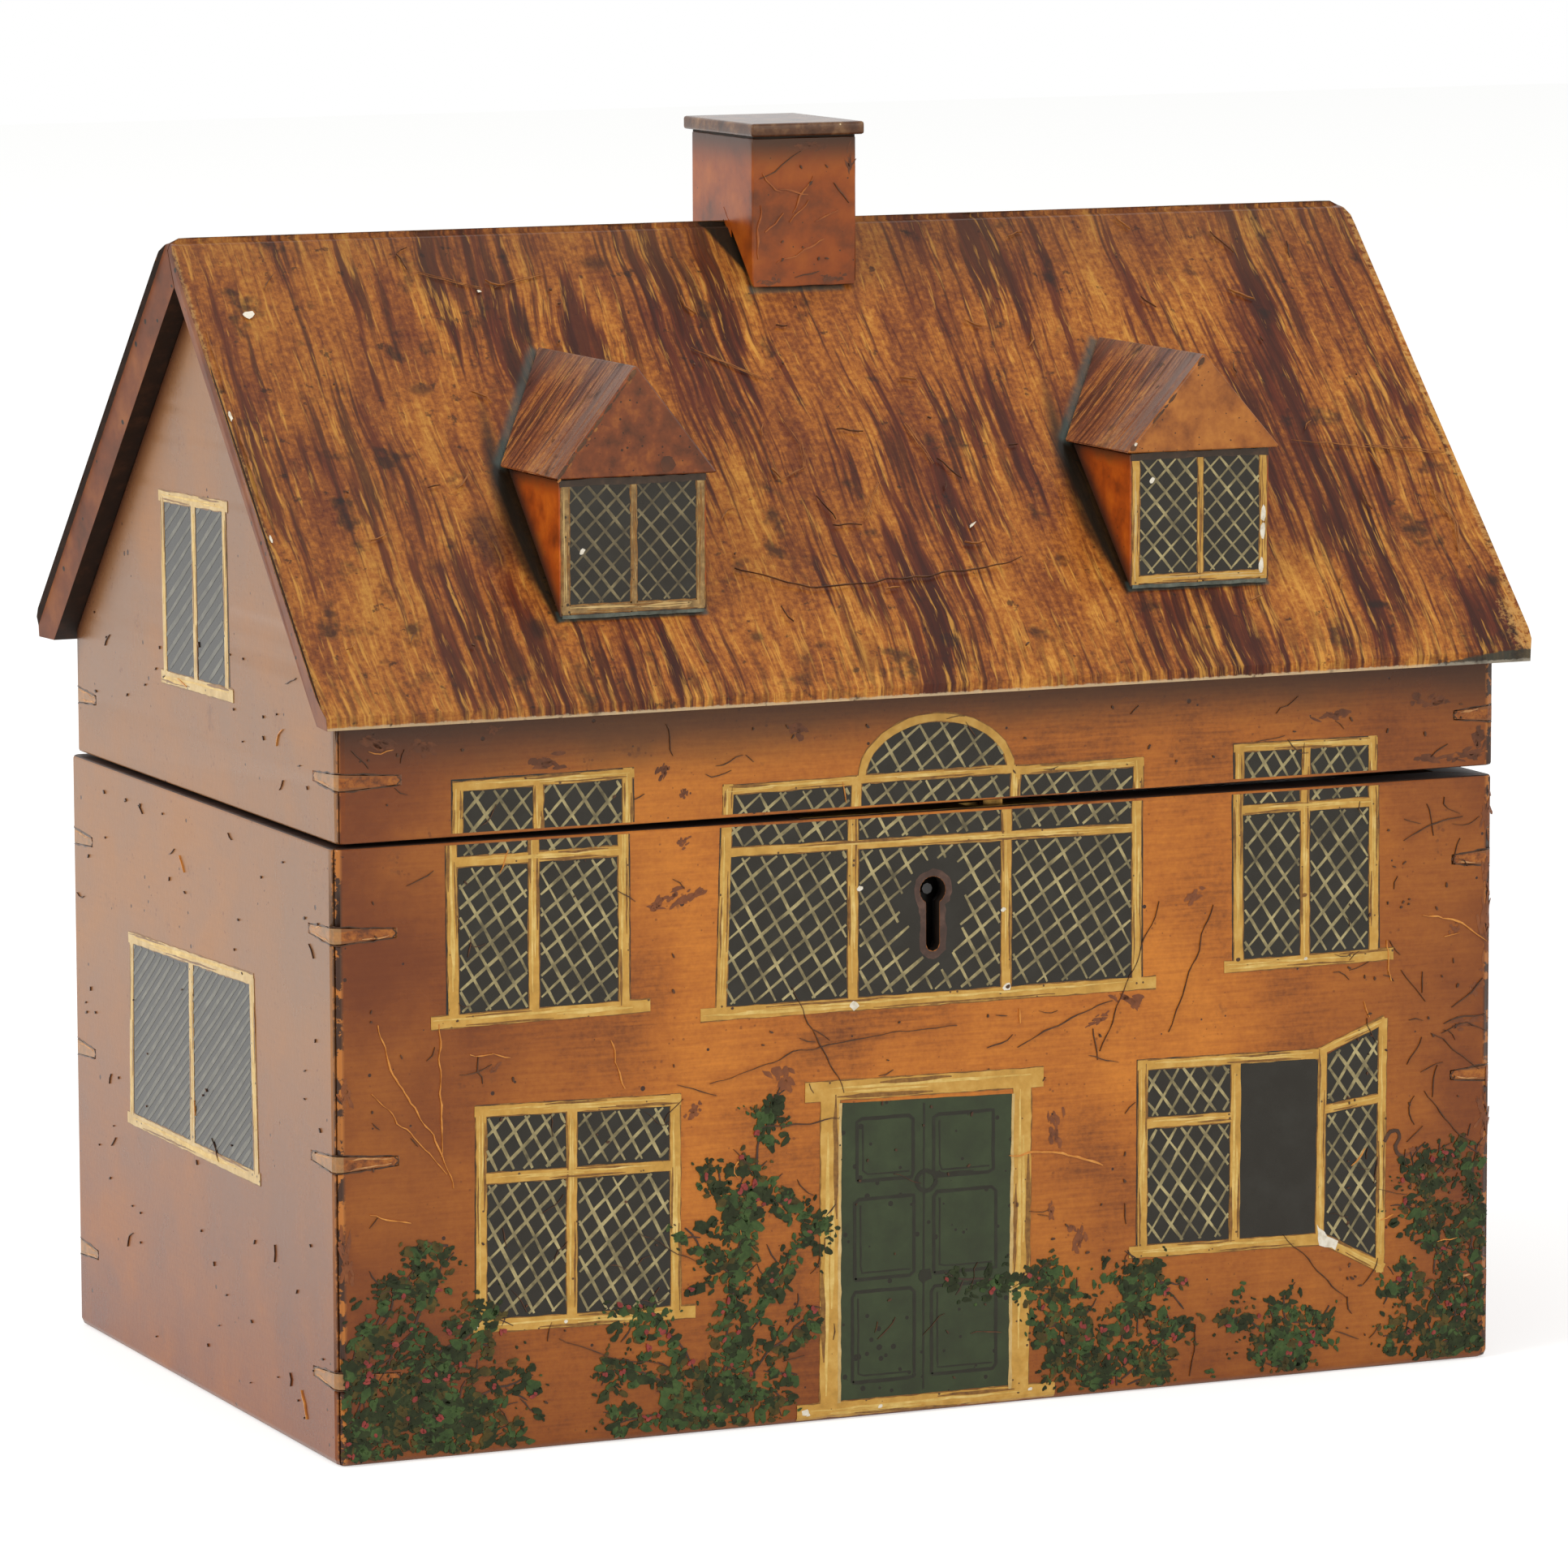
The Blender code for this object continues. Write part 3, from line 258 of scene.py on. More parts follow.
    # upright corners: a dark line where the varnish gathers, broken by rubbed places
    acrossX = add("Math", [xyz["X"]], "ABSOLUTE")
    atX = add("MapRange", [acrossX, 0.0884, 0.0889])
    acrossY = add("Math", [xyz["Y"]], "ABSOLUTE")
    atY = add("MapRange", [acrossY, 0.0541, 0.0546])
    arris = add("Math", [atX, atY], "MULTIPLY")
    rubbed = add("TexNoise", [spot, scaleOf(3.2), 5, 0.7])
    rubbed = add("MapRange", [rubbed, 0.5, 0.53])
    edge = add("Mix", [rubbed, s["arris"], s["arrisRubbed"]], data_type="RGBA")
    colour = add("Mix", [arris, colour, edge], data_type="RGBA")
    pits = add("Math", [dent, -1.2, fine], "MULTIPLY_ADD")
    bump = add("Bump", {"Height": pits, "Distance": 0.04 * mm, "Strength": 0.8})
    waves = add("Bump", {"Height": cloud, "Distance": 0.12 * mm, "Strength": 0.6, "Normal": bump})
    rub = add("MapRange", [cloud, 0.3, 0.7, s["roughness"] - 0.05, s["roughness"] + 0.1])
    return finishMaterial(material, colour, waves, {"Roughness": rub})


# The thatch: straw painted on a smooth board, golden brown dragged over with red-brown and
# black-brown strokes, varnished. The eye sees long strokes that run down the slope, leaning a
# little, thick bands among hair-fine ones, and gold rubbed out between them.
thatchFinish = {
    "gold": "a36023", "straw": "7b4119", "brown": "572310", "dark": "2f1209", "bright": "d0943f",
    "dull": "553c25", "shadow": "17150f", "valley": "454d47", "stain": "20130d", "ground": "c4ab86",
    "paintedLightTone": "6f5a50", "rubbed": "b98a4c", "noseGrey": "3a3a30", "nosePale": "8f887a",
    "hair": 0.6, "hairLength": 9, "hairLean": 0.03, "stroke": 1.25, "strokeLength": 30,
    "band": 2.9, "bandLength": 62, "sway": 4.2, "swaySize": 44, "eaveStrokes": 1.05,
    "roughness": 0.34,
}


def around(shape):
    # Each corner of an outline with the next one.
    return zip(shape, shape[1:] + shape[:1])


def inside(add, flat, corners, softness):
    # 1 inside a convex outline, given anticlockwise in millimetres, with a soft edge.
    amount = None
    for (ax, ay), (bx, by) in around(corners):
        length = math.hypot(bx - ax, by - ay)
        across = Vector((-(by - ay), bx - ax, 0)) / length
        start = across.x * ax + across.y * ay
        depth = add("VectorMath", [flat, across], "DOT_PRODUCT", out="Value")
        near = add("MapRange", [depth, (start - softness / 2) * mm, (start + softness / 2) * mm],
                   interpolation_type="SMOOTHSTEP")
        amount = near if amount is None else add("Math", [amount, near], "MULTIPLY")
    return amount


def thatchPaint(name, across, shadows=(), mainSlope=True, fine=1.0):
    # across names the axis that runs over the strokes; fine narrows them.
    s = thatchFinish
    material, add, spot = startMaterial(name, {"Roughness": s["roughness"], "IOR": 1.45,
                                               "Specular Tint": (0.35, 0.35, 0.35, 1)})
    xyz = add("SeparateXYZ", [spot], out=None).outputs
    run = 1 / math.sin(roofPitch)
    slope = add("Math", [xyz["Z"], -run, ridgeTop * mm * run], "MULTIPLY_ADD")
    side = xyz[across]
    sway = add("TexNoise", [spot, scaleOf(s["swaySize"]), 3, 0.38])
    sway = add("Math", [sway, 2 * s["sway"] * mm, -s["sway"] * mm], "MULTIPLY_ADD")
    drift = add("Math", [side, sway], "ADD")
    drawn = add("CombineXYZ", {"X": drift, "Y": slope})
    drift = add("Math", [slope, -s["hairLean"], drift], "MULTIPLY_ADD")
    crossed = add("CombineXYZ", {"X": drift, "Y": slope})
    flat = add("CombineXYZ", {"X": side, "Y": slope})

    def strokes(wide, long, detail, rough, way=drawn):
        # Strokes wide millimetres across and long millimetres down.
        shaped = add("Mapping", {"Vector": way, "Scale": (1, wide / long, 1),
                                 "Location": (wide, long, 0)})
        return add("TexNoise", [shaped, scaleOf(wide * fine), detail, rough])

    hair = strokes(s["hair"], s["hairLength"], 3, 0.6, crossed)
    stroke = strokes(s["stroke"], s["strokeLength"], 3, 0.5)
    band = strokes(s["band"], s["bandLength"], 4, 0.55)
    long = add("Mapping", {"Vector": drawn, "Scale": (1, 0.3, 1)})
    patch = add("TexNoise", [long, scaleOf(9), 4, 0.6])
    speckle = add("TexNoise", [flat, scaleOf(1.0), 5, 0.72])
    ground = add("Math", [patch, 0.5], "MULTIPLY")
    ground = add("Math", [speckle, 0.4, ground], "MULTIPLY_ADD")
    ground = add("Math", [hair, 0.2, ground], "MULTIPLY_ADD")
    low = add("MapRange", [slope, 0.055, 0.087, 0, 0.035])
    ground = add("Math", [ground, low], "ADD")
    colour = add("ValToRGB", [ground], stops=[(0.42, s["brown"]), (0.51, s["straw"]),
                                              (0.59, s["gold"]), (0.73, s["bright"])])
    # the strokes lie thick in some places and thin in others, thicker towards the right
    dense = add("Mapping", {"Vector": drawn, "Scale": (1, 0.4, 1)})
    dense = add("TexNoise", [dense, scaleOf(21), 3, 0.5])
    dense = add("MapRange", [dense, 0.38, 0.6, -0.09, 0.085])
    dense = add("Math", [side, 0.25, dense], "MULTIPLY_ADD")
    laid = ((band, 0.43, 0.04, 0.9, "brown"), (stroke, 0.46, 0.06, 0.64, "brown"),
            (hair, 0.45, 0.06, 0.24, "brown"), (stroke, 0.395, 0.04, 0.6, "dark"),
            (hair, 0.385, 0.04, 0.34, "dark"), (band, 0.37, 0.03, 0.5, "dark"))
    for pattern, start, soft, strength, kind in laid:
        depth = add("Math", [dense, pattern], "SUBTRACT")
        colour = overlaid(add, colour, s[kind], depth, -start, -start + soft, strength)
    level = add("Math", [hair, 0.5, stroke], "MULTIPLY_ADD")
    # gold rubbed up in long thin strokes, most of all near the eave and at the ends
    lit = strokes(s["stroke"] * 0.6, s["strokeLength"] * 0.35, 4, 0.65, crossed)
    lit = add("Math", [patch, 0.35, lit], "MULTIPLY_ADD")
    lit = add("Math", [low, 1.6, lit], "MULTIPLY_ADD")
    atEnds = add("Math", [side], "ABSOLUTE")
    atEnds = add("MapRange", [atEnds, 0.082, 0.094, 0, 0.05])
    lit = add("Math", [lit, atEnds], "ADD")
    colour = overlaid(add, colour, s["bright"], lit, 0.765, 0.87, 0.7)
    # painted sheen: the dormers' slopes are greyer towards their front edge and ridge
    if not mainSlope:
        greySheen = add("MapRange", [side, -0.038, -0.0495, 0.15, 0.8])
        top = add("MapRange", [xyz["Z"], 0.144, 0.1505, 0, 0.6])
        greySheen = add("Math", [greySheen, top], "MAXIMUM")
        uneven = add("MapRange", [stroke, 0.3, 0.52])
        greySheen = add("Math", [greySheen, uneven], "MULTIPLY")
        colour = add("Mix", [greySheen, colour, s["paintedLightTone"]], data_type="RGBA")
    if mainSlope:
        # short even strokes along the eave, where the brush was lifted
        comb = strokes(s["eaveStrokes"], 9, 2, 0.4)
        comb = add("MapRange", [comb, 0.5, 0.42])
        low = add("MapRange", [slope, 0.076, 0.084, 0, 0.42])
        comb = add("Math", [comb, low], "MULTIPLY")
        colour = add("Mix", [comb, colour, s["dark"]], data_type="RGBA")
        # gold and pale ground showing along the worn ends and the ridge
        atEnds = add("Math", [side], "ABSOLUTE")
        atEnds = add("MapRange", [atEnds, 0.0914, 0.0929, 0, 1])
        atRidge = add("MapRange", [slope, 0.0016, 0.0002, 0, 1])
        corner = add("MapRange", [side, 0.084, 0.092, 0, 1.05])
        lower = add("MapRange", [slope, 0.066, 0.08])
        corner = add("Math", [corner, lower], "MULTIPLY")
        worn = add("Math", [atEnds, atRidge], "MAXIMUM")
        worn = add("Math", [worn, corner], "MAXIMUM")
        worn = add("Math", [speckle, worn], "MULTIPLY")
        colour = overlaid(add, colour, s["rubbed"], worn, 0.42, 0.56, 0.85)
        # the nose of the eave: rubbed to the pale ground along its lower edge, and worn grey
        # towards the right-hand end
        height = add("Math", [speckle, 0.0009, xyz["Z"]], "MULTIPLY_ADD")
        bare = add("MapRange", [height, 0.10425, 0.10405, 0, 0.8])
        colour = add("Mix", [bare, colour, s["ground"]], data_type="RGBA")
        rise = add("MapRange", [side, 0.066, 0.092, 0.1032, 0.1056],
                   interpolation_type="SMOOTHSTEP")
        worn = add("Math", [rise, height], "SUBTRACT")
        worn = add("MapRange", [worn, 0, 0.0002, 0, 0.9])
        grey = add("Mix", [bare, s["noseGrey"], s["nosePale"]], data_type="RGBA")
        colour = add("Mix", [worn, colour, grey], data_type="RGBA")
        # duller under old varnish and dust near the ridge and towards the left-hand end
        high = add("MapRange", [slope, 0.026, 0.004, 0, 0.42])
        leftward = add("MapRange", [side, -0.03, -0.075, 0, 0.3])
        dull = add("Math", [high, leftward], "MAXIMUM")
        dull = add("Math", [dull, patch, -0.06], "MULTIPLY_ADD", use_clamp=True)
        dull = add("Math", [dull, 1.9], "MULTIPLY", use_clamp=True)
        colour = add("Mix", [dull, colour, s["dull"]], data_type="RGBA")
    # dark stains in the varnish, large and small
    for size, start, end, strength in ((7, 0.6, 0.7, 0.75), (2.2, 0.64, 0.7, 0.7)):
        stain = add("TexNoise", [spot, scaleOf(size), 4, 0.62])
        colour = overlaid(add, colour, s["stain"], stain, start, end, strength)
    for corners, softness, strength, kind in shadows:
        amount = inside(add, flat, corners, softness)
        amount = add("Math", [amount, strength], "MULTIPLY")
        colour = add("Mix", [amount, colour, s[kind]], data_type="RGBA")
    bump = add("Bump", {"Height": level, "Distance": 0.12 * mm, "Strength": 0.6})
    waves = add("Bump", {"Height": patch, "Distance": 0.4 * mm, "Strength": 0.6, "Normal": bump})
    rub = add("MapRange", [patch, 0.3, 0.7, s["roughness"] - 0.05, s["roughness"] + 0.12])
    return finishMaterial(material, colour, waves, {"Roughness": rub})


# Sawn and planed wood: long grain along one axis, darker growth lines and fine pores
def plainWood(name, colours, along, ring, roughness=0.5):
    material, add, spot = startMaterial(name, {"Roughness": roughness, "IOR": 1.48})
    squeeze = tuple(0.05 if axis == along else 1 for axis in "XYZ")
    drawn = add("Mapping", {"Vector": spot, "Scale": squeeze})
    rings = add("TexNoise", [drawn, scaleOf(ring), 5, 0.62])
    lines = add("TexNoise", [drawn, scaleOf(0.35), 3, 0.6])
    grain = add("Math", [lines, 0.45, rings], "MULTIPLY_ADD")
    colour = add("ValToRGB", [grain], stops=[(0.5, colours[0]), (0.72, colours[1]),
                                             (0.92, colours[2])])
    bump = add("Bump", {"Height": grain, "Distance": 0.06 * mm, "Strength": 0.6})
    return finishMaterial(material, colour, bump)


# Keys: slips of pale wood let into saw cuts across the mitres and painted over with the walls;
# the wood shows along their edges where the paint has rubbed through
def keyWood(name, height):
    material, add, spot = startMaterial(name, {"Roughness": 0.32, "IOR": varnishIor,
                                               "Specular Tint": varnishTint})
    xyz = add("SeparateXYZ", [spot], out=None).outputs
    ragged = add("TexNoise", [spot, scaleOf(1.4), 4, 0.7])
    fromMiddle = add("Math", [xyz["Z"], height], "SUBTRACT")
    fromMiddle = add("Math", [fromMiddle], "ABSOLUTE")
    reach = add("Math", [ragged, 0.0011, fromMiddle], "MULTIPLY_ADD")
    colour = add("ValToRGB", [ragged], stops=[(0.35, "5a2c12"), (0.5, "8a4a1a"), (0.65, "a86424")])
    colour = overlaid(add, colour, "7c4a26", reach, 0.00118, 0.00135)
    # painted sheen on the keys in the left end wall, paler like the wall round them
    colour = overlaid(add, colour, wallFinish["paintedSheen"], xyz["X"], -0.0886, -0.0888, 0.42)
    bump = add("Bump", {"Height": ragged, "Distance": 0.1 * mm, "Strength": 0.6})
    return finishMaterial(material, colour, bump)


# Metal that has been handled and left: bright where rubbed, dull brown in the hollows
def agedMetal(name, bright, dull, spotSize, roughness, grimeAndShade=None):
    material, add, spot = startMaterial(name, {"Metallic": 1})
    cloud = add("TexNoise", [spot, scaleOf(spotSize), 6, 0.65])
    colour = add("ValToRGB", [cloud], stops=[(0.36, dull), (0.5, bright), (0.75, bright)])
    outputs = {"Roughness": add("MapRange", [cloud, 0.35, 0.6, roughness + 0.25, roughness])}
    if grimeAndShade:
        # painted shade round one place, where the metal lies in shadow: its middle and how far the
        # shade spreads
        middle, spread = grimeAndShade
        near = add("VectorMath", [spot, Vector(middle) * mm], "DISTANCE", out="Value")
        near = add("MapRange", [near, spread * mm, spread * 0.7 * mm])
        colour = add("Mix", [near, colour, "17110d"], data_type="RGBA")
        outputs["Metallic"] = add("Math", [1, near], "SUBTRACT")
    bump = add("Bump", {"Height": cloud, "Distance": 0.03 * mm, "Strength": 0.7})
    return finishMaterial(material, colour, bump, outputs)


# Lead foil beaten into the compartments: grey, dull, creased all over
def beatenFoil():
    material, add, spot = startMaterial("beaten lead foil", {"Metallic": 0.9, "Roughness": 0.45})
    folds = add("TexVoronoi", [spot, scaleOf(7)], feature="F2")
    creases = add("TexNoise", {"Vector": spot, "Scale": scaleOf(4), "Detail": 6, "Roughness": 0.6,
                               "Distortion": 1.2})
    colour = add("ValToRGB", [creases], stops=[(0.3, "5c5c58"), (0.5, "8b8b86"), (0.7, "a9a8a1")])
    height = add("Math", [folds, 0.6, creases], "MULTIPLY_ADD")
    bump = add("Bump", {"Height": height, "Distance": 0.5 * mm, "Strength": 0.8})
    return finishMaterial(material, colour, bump)


# Making pieces

def finishPiece(name, mesh, materials, body, replaced=(), sharpAbove=None):
    # Turns a bmesh in millimetres into a piece that rides on a body.
    bmesh.ops.scale(mesh, vec=(mm, mm, mm), verts=mesh.verts)
    bmesh.ops.recalc_face_normals(mesh, faces=mesh.faces)
    if sharpAbove is not None:
        for face in mesh.faces:
            face.smooth = True
    data = bpy.data.meshes.new(name)
    mesh.to_mesh(data)
    mesh.free()
    for material in materials:
        data.materials.append(material)
    piece = bpy.data.objects.new(name, data)
    bpy.context.scene.collection.objects.link(piece)
    if sharpAbove is not None:
        data.set_sharp_from_angle(angle=math.radians(sharpAbove))
        weighted = piece.modifiers.new("Even shading", "WEIGHTED_NORMAL")
        weighted.keep_sharp = True
    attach(piece, body)
    if replaced:
        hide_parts(*replaced)


def softened(node, arris, materials, choose=None, wander=0.0, spacing=3.0, seed=1,
             longOnly=False, cornerWear=0):
    # A merged copy of a node with its arrises rounded and worn a little unevenly; it stands for
    # the node. With longOnly the saw cuts and the keyhole stay crisp.
    source = frame["nodes"][node]
    mesh = bmesh.new()
    mesh.from_mesh(source.data)
    bmesh.ops.remove_doubles(mesh, verts=mesh.verts, dist=0.002 * mm)
    bmesh.ops.dissolve_limit(mesh, angle_limit=math.radians(0.5), verts=mesh.verts,
                             edges=mesh.edges)
    bmesh.ops.scale(mesh, vec=(1 / mm,) * 3, verts=mesh.verts)
    low, high = (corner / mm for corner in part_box(node))
    for face in mesh.faces:
        face.material_index = 0
    for edge in mesh.edges:
        a, b = (vertex.co for vertex in edge.verts)
        upright = abs(a.z - b.z) > 0.95 * (a - b).length
        atCorner = upright and (a - b).length > 4 and abs(a.x) > 60
        sharp = edge.is_manifold and edge.is_convex and edge.calc_face_angle() > math.radians(50)
        edge.seam = sharp and (not longOnly or (a - b).length > 12 or atCorner)

    def arrises():
        return [edge for edge in mesh.edges if edge.seam]

    byCuts = {}
    for edge in arrises():
        byCuts.setdefault(int(edge.calc_length() / spacing) if wander else 0, []).append(edge)
    for cuts, edges in byCuts.items():
        if cuts:
            bmesh.ops.subdivide_edges(mesh, edges=edges, cuts=cuts)
    rounded = set(bmesh.ops.bevel(mesh, geom=arrises(), offset=arris, offset_type="OFFSET",
                                  segments=2, profile=0.5, affect="EDGES", material=-1,
                                  clamp_overlap=True)["faces"])
    for edge in mesh.edges:
        edge.seam = False
    mesh.normal_update()
    for vertex in mesh.verts:
        if wander and all(face in rounded for face in vertex.link_faces):
            amount = noise.noise(vertex.co * 0.3 + Vector((seed, 0, 0))) + 0.3
            vertex.co -= vertex.normal * max(0.0, amount) * wander
            for i in range(3):
                vertex.co[i] = min(max(vertex.co[i], low[i]), high[i])
    # a slab's free corners are rubbed round, seen from the front and from above
    for vertex in mesh.verts if cornerWear else ():
        for axis in (1, 2):
            end, limit = high.x, max(abs(low[axis]), abs(high[axis]))
            over = Vector((abs(vertex.co.x) - end + cornerWear,
                           abs(vertex.co[axis]) - limit + cornerWear))
            if min(over) > 0 and over.length > cornerWear:
                over *= cornerWear / over.length
                vertex.co.x = math.copysign(end - cornerWear + over.x, vertex.co.x)
                vertex.co[axis] = math.copysign(limit - cornerWear + over.y, vertex.co[axis])
    if choose:
        mesh.normal_update()
        for face in mesh.faces:
            face.material_index = choose(face.normal, face.calc_center_median())
    finishPiece("painted_" + node, mesh, materials, source["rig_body"], (node,), 40)


# Sheets are the flat faces that the paint lies on: a point on it, which way it faces, where its
# ends are, and its lower edge. A facing gives which way is right, up and out.
facings = {
    "front": ((1, 0, 0), (0, 0, 1), (0, -1, 0)), "back": ((-1, 0, 0), (0, 0, 1), (0, 1, 0)),
    "left": ((0, 1, 0), (0, 0, 1), (-1, 0, 0)), "right": ((0, -1, 0), (0, 0, 1), (1, 0, 0)),
    "slope": ((1, 0, 0), (0, math.cos(roofPitch), math.sin(roofPitch)),
              (0, -math.sin(roofPitch), math.cos(roofPitch))),
}
endless = (-200, 200)  # sheets whose ends the paint keeps away from
sheets = {
    "front": ((0, -55, 0), "front", (-90, 90), 0),
    "lidFront": ((0, -55, 0), "front", (-89.1, 90.1), 0),
    "left": ((-90, 0, 0), "left", (-55, 55), 0),
    "lidLeft": ((-89.1, 0, 0), "left", (-55, 55), 0),
    "right": ((90, 0, 0), "right", (-55, 55), 0),
    "lidRight": ((90.1, 0, 0), "right", (-55, 55), 0),
    "back": ((0, 55, 0), "back", (-90, 90), 0),
    "lidBack": ((0, 55, 0), "back", (-90.1, 89.1), 0),
    "dormer": ((0, -51.1, 0), "front", endless, 0),
    "dormerRoof": ((0, -52.6, 0), "front", endless, 0),
    "stackFront": ((0, -10.4, 0), "front", endless, 0),
    "stackLeft": ((-7.6, 0, 0), "left", endless, 0),
    "stackRight": ((8.8, 0, 0), "right", endless, 0),
    "slope": ((0, 0, ridgeTop), "slope", endless, -200),
}
cornerRound = 1.25  # the walls' upright corners and lower edge
seat = -0.04  # how far the paint reaches into the wood, so that no gap shows


def brushed(mesh, points, width, lift, rng, rough=0.07, step=1.4, slot=0, taper=0.0, sway=0.0,
            rows=1):
    # One brush stroke along points, with uneven edges. Taper thins its ends.
    path = [Vector((*point, 0)) for point in points]
    lengths = [(b - a).length for a, b in zip(path, path[1:])]
    total = sum(lengths)
    count = max(2, int(total / step))
    spots = []
    for i in range(count + 1):
        left = total * i / count
        for start, end, length in zip(path, path[1:], lengths):
            if left <= length + 1e-6:
                spots.append(start.lerp(end, left / max(length, 1e-9)))
                break
            left -= length
        else:
            spots.append(path[-1].copy())
    strip = bmesh.ops.create_grid(mesh, x_segments=count, y_segments=rows, size=1)["verts"]
    drift = rng.uniform(0, 900)
    for vertex in strip:
        i = round((vertex.co.x + 1) / 2 * count)
        side = vertex.co.y
        before, after = spots[max(i - 1, 0)], spots[min(i + 1, count)]
        along = (after - before).normalized()
        across = Vector((-along.y, along.x, 0))
        share = i / count
        half = width / 2
        if taper:
            half *= 1 - taper + taper * min(1, 4 * share, 4 * (1 - share))
        half = max(half + rng.uniform(-rough, rough) * 0.8, width * 0.12)
        bend = noise.noise(Vector((drift + i * 0.35, 0, 0))) * sway
        vertex.co = spots[i] + across * (side * half + bend)
        vertex.co.z = lift
    for face in {face for vertex in strip for face in vertex.link_faces}:
        face.material_index = slot


def patch(mesh, corners, lift, rng, rough=0.05, step=2.0, slot=0, hole=None):
    # A filled outline with slightly uneven edges, and a hole left in it.
    ring = []
    for (ax, ay), (bx, by) in around(corners):
        cuts = max(1, int(math.hypot(bx - ax, by - ay) / step))
        for i in range(cuts):
            share = i / cuts
            ring.append(mesh.verts.new((ax + (bx - ax) * share + rng.uniform(-rough, rough),
                                        ay + (by - ay) * share + rng.uniform(-rough, rough),
                                        lift)))
    if hole:
        inner = [mesh.verts.new((x, z, lift)) for x, z in hole]
        edges = [mesh.edges.new(pair) for loop in (ring, inner) for pair in around(loop)]
        filled = bmesh.ops.triangle_fill(mesh, use_beauty=True, edges=edges, normal=(0, 0, 1))
        faces = [item for item in filled["geom"] if isinstance(item, bmesh.types.BMFace)]
    else:
        faces = [mesh.faces.new(ring)]
    for face in faces:
        face.material_index = slot


def dab(mesh, x, z, long, wide, turn, lift, rng, slot=0, ragged=0.22):
    # One touch of a loaded brush.
    ring = bmesh.ops.create_circle(mesh, cap_ends=True, segments=9, radius=0.5)["verts"]
    aim = Matrix.Rotation(turn, 3, "Z")
    for vertex in ring:
        swell = 1 + rng.uniform(-ragged, ragged)
        spot = aim @ Vector((vertex.co.x * long * swell, vertex.co.y * wide * swell, 0))
        vertex.co = spot + Vector((x, z, lift))
    for face in {face for vertex in ring for face in vertex.link_faces}:
        face.material_index = slot


def clipped(point, direction, corners):
    # The part of a line inside a convex outline, as two ends, or nothing.
    low, high = -1e9, 1e9
    area = sum(ax * bz - bx * az for (ax, az), (bx, bz) in around(corners))
    turn = 1 if area > 0 else -1
    for (ax, az), (bx, bz) in around(corners):
        nx, nz = -(bz - az) * turn, (bx - ax) * turn
        rate = direction[0] * nx + direction[1] * nz
        gap = (point[0] - ax) * nx + (point[1] - az) * nz
        if abs(rate) < 1e-9:
            if gap < 0:
                return None
        elif rate > 0:
            low = max(low, -gap / rate)
        else:
            high = min(high, -gap / rate)
    if high - low < 0.8:
        return None
    return [(point[0] + direction[0] * t, point[1] + direction[1] * t) for t in (low, high)]


def outsideOf(line, worn, rng):
    # The parts of a line that lie outside a rubbed oval.
    if not worn:
        return [line]
    (ax, az), (bx, bz) = line
    middle, height, wide, tall = worn
    swell = rng.uniform(0.8, 1.15)
    steps = 60
    runs, run = [], []
    for i in range(steps + 1):
        x, z = ax + (bx - ax) * i / steps, az + (bz - az) * i / steps
        if math.hypot((x - middle) / wide, (z - height) / tall) > swell:
            run.append((x, z))
        elif run:
            runs.append(run)
            run = []
    runs.append(run)
    return [[run[0], run[-1]] for run in runs if len(run) > 3]


def lattice(mesh, corners, angle, pitch, width, lift, rng, slot=0, worn=None):
    # Painted lead lines across one light, rubbed away inside an oval.
    direction = (math.cos(math.radians(angle)), math.sin(math.radians(angle)))
    across = (-direction[1], direction[0])
    reaches = [x * across[0] + z * across[1] for x, z in corners]
    level = sum(x * direction[0] + z * direction[1] for x, z in corners) / len(corners)
    at = min(reaches) + pitch * rng.uniform(0.3, 0.8)
    while at < max(reaches):
        off = at + rng.uniform(-0.12, 0.12)
        lean = math.radians(rng.uniform(-0.6, 0.6))
        aside = math.sin(lean)
        way = (direction[0] - aside * direction[1], direction[1] + aside * direction[0])
        start = (across[0] * off + direction[0] * level, across[1] * off + direction[1] * level)
        line = clipped(start, way, corners)
        for part in outsideOf(line, worn, rng) if line else []:
            brushed(mesh, part, width * rng.uniform(0.8, 1.15), lift, rng, rough=0.05, step=1.8,
                    slot=slot, taper=0.3, sway=0.1)
        at += pitch


def paintPiece(name, mesh, sheet, materials, body):
    # Gives the flat paint its thickness and lays it on its sheet.
    faces = list(mesh.faces)
    made = bmesh.ops.extrude_face_region(mesh, geom=faces)["geom"]
    for vertex in (item for item in made if isinstance(item, bmesh.types.BMVert)):
        vertex.co.z = seat
    origin, facing, (start, end), foot = sheets[sheet]
    for vertex in mesh.verts:
        # follow the rounding of the corners and of the lower edge
        past = (start + cornerRound - vertex.co.x, vertex.co.x - end + cornerRound,
                foot + cornerRound - vertex.co.y)
        for over in past:
            if over > 0:
                drop = cornerRound ** 2 - min(over, cornerRound * 0.9) ** 2
                vertex.co.z -= cornerRound - math.sqrt(drop)
        vertex.co.y = max(vertex.co.y, foot + 0.4)
    turn = Matrix(facings[facing]).transposed()
    bmesh.ops.transform(mesh, matrix=Matrix.Translation(Vector(origin)) @ turn.to_4x4(),
                        verts=mesh.verts)
    finishPiece(name, mesh, materials, body)


